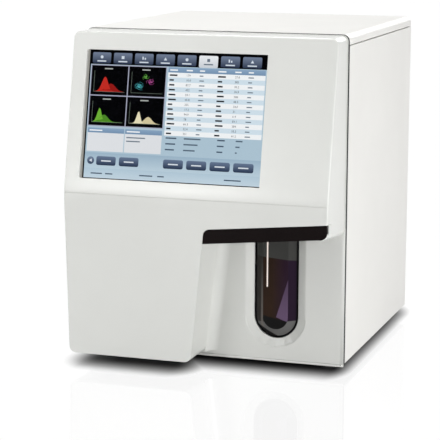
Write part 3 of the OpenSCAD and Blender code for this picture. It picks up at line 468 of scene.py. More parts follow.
class Slot(Enum):
    """Material slots of the record, each with its finish."""

    front_plastic = Finish("moulded_front_plastic", (219, 220, 216), roughness=0.24, specular=0.7, grain_depth=0.004)
    panel_paint = Finish("painted_case_panel", (235, 234, 230), roughness=0.38, grain_scale=700.0, grain_depth=0.006)
    sheet_steel = Finish("zinc_plated_sheet", (168, 170, 172), roughness=0.38, metallic=1.0, drift=0.12,
                         drift_scale=60.0, grain_scale=900.0, stretch=(1.0, 6.0, 6.0))
    rear_paint = Finish("painted_rear_sheet", (222, 222, 219), roughness=0.45, grain_scale=900.0, grain_depth=0.01)
    visor_black = Finish("dark_polished_visor", (16, 9, 9), roughness=0.28, specular=0.06, drift=0.15,
                         drift_scale=25.0, grain_depth=0.002)
    key_smoke = SmokedPlastic("smoked_aspirate_key", (46, 30, 20), roughness=0.14, specular=0.06, drift=0.12,
                              drift_scale=40.0, grain_depth=0.001)
    touch_glass = ClearGlass("touch_panel_glass", (250, 252, 253), roughness=0.0, ior=1.0, specular=0.0,
                             grain_depth=0.0)
    lcd = LitPicture("lit_display_picture", (3, 3, 4), roughness=0.4, specular=0.0, grain_depth=0.001)
    steel = Finish("ground_steel_bar", (196, 196, 194), roughness=0.2, metallic=1.0, drift=0.06, drift_scale=90.0,
                   grain_scale=500.0, stretch=(4.0, 4.0, 0.4))
    probe_steel = Finish("polished_probe_steel", (226, 214, 206), roughness=0.16, metallic=1.0, drift=0.04,
                         drift_scale=60.0, grain_scale=900.0, grain_depth=0.002, stretch=(3.0, 3.0, 0.3))
    rubber = Finish("matt_foot_rubber", (34, 34, 35), roughness=0.8, specular=0.3, drift=0.15, drift_scale=70.0,
                    grain_depth=0.03)
    dark_plastic = Finish("dark_moulded_plastic", (36, 36, 39), roughness=0.5, specular=0.35, drift=0.1,
                          drift_scale=50.0, grain_depth=0.015)
    motor_black = Finish("black_anodised_metal", (52, 52, 56), roughness=0.42, metallic=0.6, drift=0.1,
                         drift_scale=50.0, grain_scale=900.0)
    aluminium = Finish("milled_aluminium", (190, 192, 196), roughness=0.34, metallic=1.0, drift=0.07,
                       drift_scale=40.0, grain_scale=700.0, stretch=(0.3, 5.0, 5.0))
    clear_plastic = ClearGlass("clear_moulded_plastic", (236, 240, 242), roughness=0.12, ior=1.49)
    syringe_glass = ClearGlass("syringe_barrel_glass", (240, 246, 248), roughness=0.03, ior=1.47)
    white_resin = Finish("white_resin", (228, 227, 220), roughness=0.4, drift=0.03, drift_scale=40.0)
    board_green = CircuitBoard("green_circuit_board", (22, 74, 44), roughness=0.35, grain_depth=0.02)
    brass = Finish("plain_brass", (206, 172, 92), roughness=0.3, metallic=1.0, drift=0.1, drift_scale=120.0)


def arc(centre: Flat, radius: float, start: float, end: float, steps: int = 8) -> list[Flat]:
    """Points of an arc.

    Args:
        centre: Its centre.
        radius: Its radius.
        start: First angle in degrees.
        end: Last angle in degrees.
        steps: Chords.

    Returns:
        The points, both ends included.
    """
    angles = [math.radians(start + (end - start) * i / steps) for i in range(steps + 1)]
    return [(centre[0] + radius * math.cos(a), centre[1] + radius * math.sin(a)) for a in angles]


class Solid:
    """Closed shape being made, in millimetres.

    Distances within which points are merged, in millimetres, and angles under which faces are
    made one, in degrees, differ between a CAD node, a cut shape and a turned one.
    """

    NODE_WELD = 0.004
    NODE_FLAT = 0.6
    CUT_WELD = 0.002
    CUT_FLAT = 0.5
    LATHE_WELD = 0.0005

    def __init__(self, mesh: Optional[bmesh.types.BMesh] = None) -> None:
        """Starts from a mesh or from nothing."""
        self.bm = mesh or bmesh.new()

    @classmethod
    def of_node(cls, node: str) -> "Solid":
        """Copy of a CAD node, merged and with its flat faces whole again."""
        bm = bmesh.new()
        bm.from_mesh(frame["nodes"][node].data)
        return cls(bm).scaled(1 / MM).welded(cls.NODE_WELD).flattened(cls.NODE_FLAT)

    @classmethod
    def of_object(cls, thing: bpy.types.Object) -> "Solid":
        """Takes over an object's evaluated mesh and deletes the object."""
        bm = bmesh.new()
        bm.from_object(thing, bpy.context.evaluated_depsgraph_get())
        bpy.data.objects.remove(thing)
        return cls(bm).scaled(1 / MM)

    @classmethod
    def box(cls, low: Point, high: Point) -> "Solid":
        """Box between two corners."""
        middle = [(a + b) / 2 for a, b in zip(low, high)]
        size = [b - a for a, b in zip(low, high)]
        solid = cls()
        place = Matrix.Translation(middle) @ Matrix.Diagonal((*size, 1.0))
        bmesh.ops.create_cube(solid.bm, size=1.0, matrix=place)
        return solid

    @classmethod
    def loft(cls, rings: Sequence[Sequence[Point]], looped: bool = False) -> "Solid":
        """Skin over closed rings of points.

        Args:
            rings: Rings with the same number of points.
            looped: Whether the last ring joins the first. If not, both are closed by a face.

        Returns:
            The skinned shape, with its faces pointing outwards.
        """
        solid = cls()
        made = [[solid.bm.verts.new(p) for p in ring] for ring in rings]
        count = len(made[0])
        pairs = list(zip(made, made[1:])) + ([(made[-1], made[0])] if looped else [])
        for first, second in pairs:
            for i in range(count):
                k = (i + 1) % count
                solid.bm.faces.new((first[i], first[k], second[k], second[i]))
        if not looped:
            solid.bm.faces.new(list(reversed(made[0])))
            solid.bm.faces.new(made[-1])
        return solid.faced()

    @classmethod
    def prism(cls, outline: Sequence[Flat], low: float, high: float,
              place: Callable[[float, float, float], Point] = lambda u, v, depth: (u, v, depth)) -> "Solid":
        """Outline made solid between two depths.

        Args:
            outline: Points of the outline.
            low: First depth.
            high: Second depth.
            place: Gives the point of an outline's u and v at a depth. By default that is X, Y and Z.

        Returns:
            The prism.
        """
        return cls.loft([[place(u, v, depth) for u, v in outline] for depth in (low, high)])

    @classmethod
    def lathe(cls, profile: Sequence[Flat], centre: Point, steps: int, backwards: bool = False) -> "Solid":
        """Closed profile of radius and height turned about an axis.

        Args:
            profile: Radius and height of each point. A zero radius lies on the axis.
            centre: Place of the axis.
            steps: Faces round.
            backwards: Whether the axis is Y and not Z.

        Returns:
            The turned shape.
        """
        turn = Matrix.Rotation(math.radians(-90), 3, "X") if backwards else Matrix.Identity(3)
        rings = []
        for i in range(steps):
            angle = 2 * math.pi * i / steps
            ring = [(r * math.cos(angle), r * math.sin(angle), h) for r, h in profile]
            rings.append([Vector(centre) + turn @ Vector(p) for p in ring])
        return cls.loft(rings, looped=True).welded(cls.LATHE_WELD).faced()

    def scaled(self, factor: float) -> "Solid":
        """Scales the shape about the origin."""
        bmesh.ops.scale(self.bm, vec=(factor,) * 3, verts=self.bm.verts)
        return self

    def welded(self, distance: float) -> "Solid":
        """Merges points that lie closer than a distance."""
        bmesh.ops.remove_doubles(self.bm, verts=self.bm.verts, dist=distance)
        return self

    def flattened(self, degrees: float) -> "Solid":
        """Makes faces one that meet at less than an angle."""
        bmesh.ops.dissolve_limit(self.bm, angle_limit=math.radians(degrees), verts=self.bm.verts, edges=self.bm.edges)
        return self

    def faced(self) -> "Solid":
        """Turns the faces outwards."""
        bmesh.ops.recalc_face_normals(self.bm, faces=self.bm.faces)
        return self

    def object(self, name: str) -> bpy.types.Object:
        """Object of this shape, in metres, at the origin."""
        mesh = bpy.data.meshes.new(name)
        self.scaled(MM).bm.to_mesh(mesh)
        self.bm.free()
        thing = bpy.data.objects.new(name, mesh)
        bpy.context.scene.collection.objects.link(thing)
        return thing

    def boolean(self, other: "Solid", operation: str) -> "Solid":
        """Cuts or crosses this shape with another and uses both up.

        Args:
            other: The other shape.
            operation: DIFFERENCE or INTERSECT.

        Returns:
            The result.
        """
        base, tool = self.object("boolean_base"), other.object("boolean_tool")
        modifier = base.modifiers.new("cut", "BOOLEAN")
        modifier.operation = operation
        modifier.object = tool
        modifier.solver = "EXACT"
        bpy.context.view_layer.update()
        result = Solid.of_object(base)
        bpy.data.objects.remove(tool)
        return result.welded(self.CUT_WELD)

    def cut(self, *others: "Solid") -> "Solid":
        """This shape less others, one after the other."""
        result = self
        for other in others:
            result = result.boolean(other, "DIFFERENCE")
        return result

    def join(self, other: "Solid") -> "Solid":
        """This shape with another beside it, as a shell of its own."""
        mesh = bpy.data.meshes.new("join")
        other.bm.to_mesh(mesh)
        other.bm.free()
        self.bm.from_mesh(mesh)
        bpy.data.meshes.remove(mesh)
        return self

    def sliced(self, axis: int, places: Iterable[float]) -> "Solid":
        """Adds edge loops across an axis, so that the faces there can bend."""
        normal = [float(i == axis) for i in range(3)]
        for place in places:
            at = [place * n for n in normal]
            geometry = self.bm.verts[:] + self.bm.edges[:] + self.bm.faces[:]
            bmesh.ops.bisect_plane(self.bm, geom=geometry, plane_co=at, plane_no=normal)
        return self

    def moved(self, rule: Callable[[Vector], Point]) -> "Solid":
        """Moves every point by a rule."""
        for vert in self.bm.verts:
            vert.co = Vector(rule(vert.co))
        return self

    def rounded(self, width: float, segments: int, angle: float, where: Pick = lambda middle, along: True) -> "Solid":
        """Rounds the edges that are sharper than an angle.

        Args:
            width: Distance from the edge at which the rounding starts.
            segments: Faces across the rounding.
            angle: Least angle between the edge's faces, in degrees.
            where: Picks edges by their middle and direction.

        Returns:
            This shape.
        """
        least = math.radians(angle)
        picked = []
        for edge in self.bm.edges:
            ends = edge.verts[0].co, edge.verts[1].co
            sharp = edge.is_manifold and edge.calc_face_angle(0.0) > least
            if sharp and where((ends[0] + ends[1]) / 2, (ends[1] - ends[0]).normalized()):
                picked.append(edge)
        if picked:
            bmesh.ops.bevel(self.bm, geom=picked, offset=width, offset_type="OFFSET", segments=segments,
                            profile=0.5, affect="EDGES", clamp_overlap=True)
        return self

    def piece(self, name: str, slot: Slot, body: Body, *nodes: str, smooth: float = 32.0) -> bpy.types.Object:
        """Makes the finished piece.

        Args:
            name: Name of the piece.
            slot: Its material slot.
            body: Its body.
            nodes: CAD nodes that it replaces.
            smooth: Greatest smooth angle, in degrees.

        Returns:
            The piece.
        """
        thing = self.object(name)
        settle(thing, smooth)
        thing.data.materials.clear()
        thing.data.materials.append(slot.value.material())
        return ridden(thing, slot, body, *nodes)


def settle(thing: bpy.types.Object, smooth: float) -> None:
    """Shades an object smooth up to an angle, with normals that follow its large faces, and bakes its modifiers.

    Args:
        thing: The object.
        smooth: The angle in degrees.
    """
    mesh = thing.data
    mesh.polygons.foreach_set("use_smooth", [True] * len(mesh.polygons))
    mesh.set_sharp_from_angle(angle=math.radians(smooth))
    weighted = thing.modifiers.new("weighted", "WEIGHTED_NORMAL")
    weighted.keep_sharp = True
    weighted.weight = 80
    plain(thing)


def plain(thing: bpy.types.Object) -> None:
    """Replaces an object's mesh by its evaluated one and drops the modifiers."""
    bpy.context.view_layer.update()
    evaluated = thing.evaluated_get(bpy.context.evaluated_depsgraph_get())
    old, name = thing.data, thing.data.name
    thing.data = bpy.data.meshes.new_from_object(evaluated)
    thing.modifiers.clear()
    bpy.data.meshes.remove(old)
    thing.data.name = name


def ridden(thing: bpy.types.Object, slot: Slot, body: Body, *nodes: str) -> bpy.types.Object:
    """Ties a finished piece to the frame.

    Args:
        thing: The piece.
        slot: Its material slot; not used.
        body: Its body.
        nodes: CAD nodes that it replaces.

    Returns:
        The piece.
    """
    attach(thing, body.value)
    if nodes:
        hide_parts(*nodes)
    LOG.info("made %s on %s", thing.name, body.value)
    return thing


class Repeat:
    """Geometry Nodes tree that is built input by input and turned into a plain piece."""

    def __init__(self, name: str) -> None:
        """Starts an empty tree with one geometry in and out."""
        self.name = name
        self.tree = bpy.data.node_groups.new(name, "GeometryNodeTree")
        for way in ("INPUT", "OUTPUT"):
            self.tree.interface.new_socket("Geometry", in_out=way, socket_type="NodeSocketGeometry")
        self.values: dict[str, object] = {}
        self.start = self.tree.nodes.new("NodeGroupInput")

    def given(self, name: str, kind: str, value: object) -> Socket:
        """Adds a named input.

        Args:
            name: Name of the input.
            kind: Kind of socket, such as Float.
            value: Its value.

        Returns:
            The socket that carries it.
        """
        made = self.tree.interface.new_socket(name, in_out="INPUT", socket_type="NodeSocket" + kind)
        self.values[made.identifier] = value
        return self.start.outputs[name]

    def node(self, kind: str, inputs: Optional[Feed] = None, **settings: object) -> bpy.types.Node:
        """Adds a node to this tree, as add_node does."""
        return add_node(self.tree, kind, inputs, **settings)

    def tube(self, curve: Socket, radius: Socket, sides: int, place: Socket, capped: bool = False) -> Socket:
        """Round bar along a curve, moved to a place.

        Args:
            curve: The curve.
            radius: Radius of the bar.
            sides: Faces round it.
            place: How far it is moved.
            capped: Whether its ends are closed.

        Returns:
            The bar.
        """
        section = self.node("GeometryNodeCurvePrimitiveCircle", {"Resolution": sides, "Radius": radius})
        bar = self.node("GeometryNodeCurveToMesh", {"Curve": curve, "Profile Curve": section.outputs[0],
                                                    "Fill Caps": capped})
        return self.node("GeometryNodeTransform", {"Geometry": bar.outputs[0], "Translation": place}).outputs[0]

    def piece(self, geometry: Socket, points: Sequence[Point], slot: Slot, body: Body, *nodes: str,
              smooth: float = 32.0) -> bpy.types.Object:
        """Closes the tree and bakes it over some points.

        Args:
            geometry: What the tree makes.
            points: Points of the base mesh, in millimetres.
            slot: Its material slot.
            body: Its body.
            nodes: CAD nodes that it replaces.
            smooth: Greatest smooth angle, in degrees.

        Returns:
            The piece.
        """
        finish = self.given("Finish", "Material", slot.value.material())
        whole = self.node("GeometryNodeRealizeInstances", {"Geometry": geometry})
        dressed = self.node("GeometryNodeSetMaterial", {"Geometry": whole.outputs[0], "Material": finish})
        self.node("NodeGroupOutput", {0: dressed.outputs[0]})
        mesh = bpy.data.meshes.new(self.name)
        mesh.from_pydata([Vector(p) * MM for p in points], [], [])
        thing = bpy.data.objects.new(self.name, mesh)
        modifier = thing.modifiers.new(self.name, "NODES")
        modifier.node_group = self.tree
        for identifier, value in self.values.items():
            modifier[identifier] = value
        bpy.context.scene.collection.objects.link(thing)
        plain(thing)
        settle(thing, smooth)
        return ridden(thing, slot, body, *nodes)


def scattered(name: str, shape: Solid, points: Sequence[Point], slot: Slot, body: Body, *nodes: str
              ) -> bpy.types.Object:
    """One shape set on many points by Geometry Nodes.

    Args:
        name: Name of the piece.
        shape: Shape round the origin.
        points: Where it stands, in millimetres.
        slot: Its material slot.
        body: Its body.
        nodes: CAD nodes that it replaces.

    Returns:
        The piece.
    """
    pattern = shape.object(name + "_pattern")
    repeat = Repeat(name)
    source = repeat.node("GeometryNodeObjectInfo", {"Object": repeat.given("Shape", "Object", pattern)})
    set_out = repeat.node("GeometryNodeInstanceOnPoints", {"Points": repeat.start.outputs["Geometry"],
                                                           "Instance": source.outputs["Geometry"]})
    made = repeat.piece(set_out.outputs["Instances"], points, slot, body, *nodes)
    bpy.data.objects.remove(pattern)
    return made


@dataclass
class CaseSizes:
    """Planes of the case, read from the frame, in millimetres.

    Attributes:
        front_lean: Set-back of the screen panel's top.
        foot_lean: Set-back of the lower cover's foot.
        seam_z: Height of the covers' seam.
        foot_z: Height of the lower cover's foot.
        ridge_r: Radius of the soft ridge at the seam.
        side_step: Step of the frame's rim at the sides.
        top_step: Step of that rim at the top.
        fold_r: Radius of the top cover's folds.
        half_w: Half width of the case.
        y_front: Front of the covers.
        y_bay: Face of the bay wall.
        y_panel: Front of the side panels.
        y_rear: Rear of the side panels.
        front_half: Half width of the covers.
        front_top: Top of the screen panel.
        top_z: Top of the case.
        case_z: Foot of the side panels.
        upper: Lean of the screen panel, in radians.
        lower: Lean of the lower cover, in radians.
        ridge_top: Upper end of the ridge.
        ridge_foot: Lower end of the ridge.
        ridge_y: Depth of the ridge's axis.
        ridge_z: Height of the ridge's axis.
    """

    front_lean: float = 38.0
    foot_lean: float = 11.5
    seam_z: float = 211.0
    foot_z: float = 17.5
    ridge_r: float = 120.0
    side_step: float = 1.1
    top_step: float = 0.8
    fold_r: float = 8.0
    half_w: float = field(init=False)
    y_front: float = field(init=False)
    y_bay: float = field(init=False)
    y_panel: float = field(init=False)
    y_rear: float = field(init=False)
    front_half: float = field(init=False)
    front_top: float = field(init=False)
    top_z: float = field(init=False)
    case_z: float = field(init=False)
    upper: float = field(init=False)
    lower: float = field(init=False)
    ridge_top: float = field(init=False)
    ridge_foot: float = field(init=False)
    ridge_y: float = field(init=False)
    ridge_z: float = field(init=False)

    def __post_init__(self) -> None:
        """Reads the planes off the CAD boxes."""
        side_low, side_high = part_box("right_side_panel")
        panel_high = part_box("screen_panel")[1]
        self.half_w, self.y_rear = side_high.x / MM, side_high.y / MM
        self.y_panel, self.case_z = side_low.y / MM, side_low.z / MM
        self.front_half, self.y_bay, self.front_top = panel_high.x / MM, panel_high.y / MM, panel_high.z / MM
        self.y_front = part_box("lower_front_cover")[0].y / MM
        self.top_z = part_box("top_cover")[1].z / MM
        self.upper = math.atan2(self.front_lean, self.front_top - self.seam_z)
        self.lower = math.atan2(self.foot_lean, self.seam_z - self.foot_z)
        tangent = self.ridge_r * math.tan((self.upper + self.lower) / 2)
        self.ridge_top = self.seam_z + tangent * math.cos(self.upper)
        self.ridge_foot = self.seam_z - tangent * math.cos(self.lower)
        self.ridge_y = self.y_front + tangent * math.sin(self.upper) + self.ridge_r * math.cos(self.upper)
        self.ridge_z = self.ridge_top - self.ridge_r * math.sin(self.upper)

    def flat_y(self, z: float) -> float:
        """Place of the sharp front faces at a height."""
        if z > self.seam_z:
            return self.y_front + (z - self.seam_z) * math.tan(self.upper)
        return self.y_front + (self.seam_z - z) * math.tan(self.lower)

    def set_back(self, z: float) -> float:
        """How far the soft ridge lies behind the sharp faces at a height."""
        if not self.ridge_foot < z < self.ridge_top:
            return 0.0
        soft = self.ridge_y - math.sqrt(self.ridge_r ** 2 - (z - self.ridge_z) ** 2)
        return max(soft - self.flat_y(z), 0.0)

    def hoop(self, side: float, top_inset: float, low: float) -> list[Flat]:
        """Outline of the case's sides and top in front view, from its left foot over to its right foot."""
        half, top, radius = self.half_w - side, self.top_z - top_inset, max(self.fold_r - side, 1.0)
        return ([(-half, low)] + arc((radius - half, top - radius), radius, 180, 90)
                + arc((half - radius, top - radius), radius, 90, 0) + [(half, low)])

    def on_screen(self, u: float, v: float, depth: float) -> Point:
        """Point on the screen panel: u across, v up the slope from the seam, depth into the case."""
        lean, rise = math.sin(self.upper), math.cos(self.upper)
        return (u, self.y_front + v * lean + depth * rise, self.seam_z + v * rise - depth * lean)


@dataclass
class FrontCovers:
    """Screen panel and lower cover, with the soft ridge between them.

    Attributes:
        case: Planes of the case.
        reach: Depth that the ridge moves.
        wall: Wall of the screen panel.
        face_r: Rounding of the panel's face.
        face_steps: Faces across that rounding.
        corner_steps: Faces round the upper corners.
        edge_r: Rounding of the plain edges.
        leg_r: Rounding of the leg's inner edge.
        ridge_steps: Faces over half the ridge.
        ridge_end: Gaps of the ridge's halves to the seam.
        seam: Height of the seam.
        seam_depth: Depth of its groove in front.
        strip_turn: Depth at which the seam's strip turns.
        strip_wall: Thickness of that strip.
        strip_corner: Insets of its corner: back, outside, inside.
        bevel: Extra width of the opening at its left.
        opening_r: Radius of its corners there.
        opening_steps: Faces round those corners.
        face_near: Depth of an edge on the panel's face.
        face_rim: Rims of that face, side and top.
        visor_gap: Gap to the visor's corner.
        leg_near: Depth of an edge on the cover's face.
        leg_span: Places left and right of the inner edge.
        leg_top: Height above that edge.
        leg_rise: Least rise of that edge.
        foot_top: Height above the foot's edges.
        side_zone: Width and depth of the side's front edge.
    """

    case: CaseSizes
    reach: float = 12.0
    wall: float = 3.0
    face_r: float = 2.0
    face_steps: int = 5
    corner_steps: int = 10
    edge_r: float = 0.6
    leg_r: float = 2.6
    ridge_steps: int = 6
    ridge_end: Flat = (0.1, 0.5)
    seam: float = 0.8
    seam_depth: float = 0.7
    strip_turn: float = 5.0
    strip_wall: float = 2.4
    strip_corner: tuple[float, float, float] = (0.6, 2.6, 3.0)
    bevel: float = 2.6
    opening_r: float = 2.2
    opening_steps: int = 5
    face_near: float = 1.5
    face_rim: Flat = (3.0, 9.0)
    visor_gap: float = 0.6
    leg_near: float = 0.6
    leg_span: Flat = (-60.0, 40.0)
    leg_top: float = 160.0
    leg_rise: float = 0.3
    foot_top: float = 60.0
    side_zone: Flat = (4.0, 6.0)

    def build(self) -> None:
        """Makes both covers and the strip behind their seam."""
        self.screen_panel()
        self.lower_cover()
        self.seam_strip()

    def ridge(self, solid: Solid, low: float, high: float) -> Solid:
        """Bends the covers' faces over the ridge between two heights."""
        case = self.case
        places = [low + (high - low) * i / self.ridge_steps for i in range(1, self.ridge_steps)]
        solid.sliced(2, places + [low, high])

        def rule(point: Vector) -> Point:
            """Sets a point of the front wall back."""
            reach = case.flat_y(point.z) + self.reach
            return (point.x, point.y + (case.set_back(point.z) if point.y < reach else 0.0), point.z)

        return solid.moved(rule)

    def lower_cover(self) -> None:
        """Makes the lower cover: the leg and the overhang."""
        case = self.case
        cover = Solid.of_node("lower_front_cover").cut(SamplingBay(case).corner_wedge(self.visor_gap))
        cover = self.ridge(cover.flattened(Solid.CUT_FLAT), case.ridge_foot, case.seam_z - self.ridge_end[1])
        left, right = self.leg_span

        def of_leg(middle: Vector, along: Vector) -> bool:
            """Whether an edge is the leg's inner front edge or runs round its foot in front."""
            inner = left < middle.x < right and abs(along.z) > self.leg_rise and middle.z < self.leg_top
            foot = middle.z < self.foot_top and middle.x < right
            return middle.y < case.flat_y(middle.z) + self.leg_near and (inner or foot)

        def off_side(middle: Vector, along: Vector) -> bool:
            """Whether an edge lies elsewhere than on a side wall behind the front edge."""
            wide, deep = self.side_zone
            return abs(middle.x) <= case.front_half - wide or middle.y <= case.flat_y(middle.z) + deep

        cover.rounded(self.leg_r, 4, 40.0, of_leg)
        cover.rounded(self.edge_r, 3, 50.0, off_side)
        cover.piece("lower_front_moulding", Slot.front_plastic, Body.CHASSIS, "lower_front_cover")

    def screen_panel(self) -> None:
        """Makes the screen panel: a shell with a softly rounded face and round upper corners."""
        case = self.case
        low = case.seam_z + self.seam / 2
        near = self.ridge_end[0]

        def ring(inset: float, depth: Optional[float]) -> list[Point]:
            """Outline of the panel in front view, set in, at a depth behind the face or at the frame."""
            half, top, radius = case.front_half - inset, case.front_top - inset, case.fold_r - inset
            outline = ([(-half, low), (half, low)]
                       + arc((half - radius, top - radius), radius, 0, 90, self.corner_steps)
                       + arc((radius - half, top - radius), radius, 90, 180, self.corner_steps))
            return [(x, case.y_bay if depth is None else case.flat_y(z) + depth, z) for x, z in outline]

        def opened(point: Vector) -> Point:
            """Lets the hollow stand out at the back and below."""
            back = OVER if point.y > case.y_bay - near else 0.0
            return (point.x, point.y + back, point.z - (2 * OVER if point.z < low + near else 0.0))

        def plain_edge(middle: Vector, along: Vector) -> bool:
            """Whether an edge runs round the opening or along the seam in front."""
            side, top = self.face_rim
            on_face = middle.y < case.flat_y(middle.z) + self.face_near
            return on_face and abs(middle.x) < case.front_half - side and middle.z < case.front_top - top

        bends = [math.radians(90 * i / self.face_steps) for i in range(self.face_steps + 1)]
        soft = [ring(self.face_r * (1 - math.sin(a)), self.face_r * (1 - math.cos(a))) for a in bends]
        hollow = Solid.loft([ring(self.wall, self.wall), ring(self.wall, None)]).moved(opened)
        screen, r, steps = Display(case), self.opening_r, self.opening_steps
        left, right, high = screen.left - self.bevel, screen.left + screen.width, screen.low + screen.height
        outline = ([(right, screen.low), (right, high)] + arc((left + r, high - r), r, 90, 180, steps)
                   + arc((left + r, screen.low + r), r, 180, 270, steps))
        opening = Solid.prism(outline, -3 * OVER, self.wall + OVER, case.on_screen)
        panel = Solid.loft(soft + [ring(0.0, None)]).cut(hollow, opening).flattened(Solid.CUT_FLAT)
        panel.rounded(self.edge_r, 3, 40.0, plain_edge)
        panel = self.ridge(panel, low + near, case.ridge_top)
        panel.piece("screen_panel_cover", Slot.front_plastic, Body.CHASSIS, "screen_panel")

    def seam_strip(self) -> None:
        """Makes the strip behind the seam: flush at the sides, a shallow groove in front."""
        case, wall = self.case, self.strip_wall
        front = case.y_front + case.set_back(case.seam_z) + self.seam_depth
        turn, side = case.y_front + self.strip_turn, case.front_half - FLUSH
        behind, outside, inside = self.strip_corner
        half = [(side, case.y_bay), (side, turn), (case.front_half - self.seam_depth, turn - behind),
                (case.front_half - outside, front)]
        inner = [(case.front_half - inside, front + wall), (side - wall, turn), (side - wall, case.y_bay)]
        outline = half + [(-x, y) for x, y in reversed(half)] + [(-x, y) for x, y in reversed(inner)] + inner
        strip = Solid.prism(outline, case.seam_z - self.seam / 2, case.seam_z + self.seam / 2)
        strip.piece("front_seam_strip", Slot.front_plastic, Body.CHASSIS)


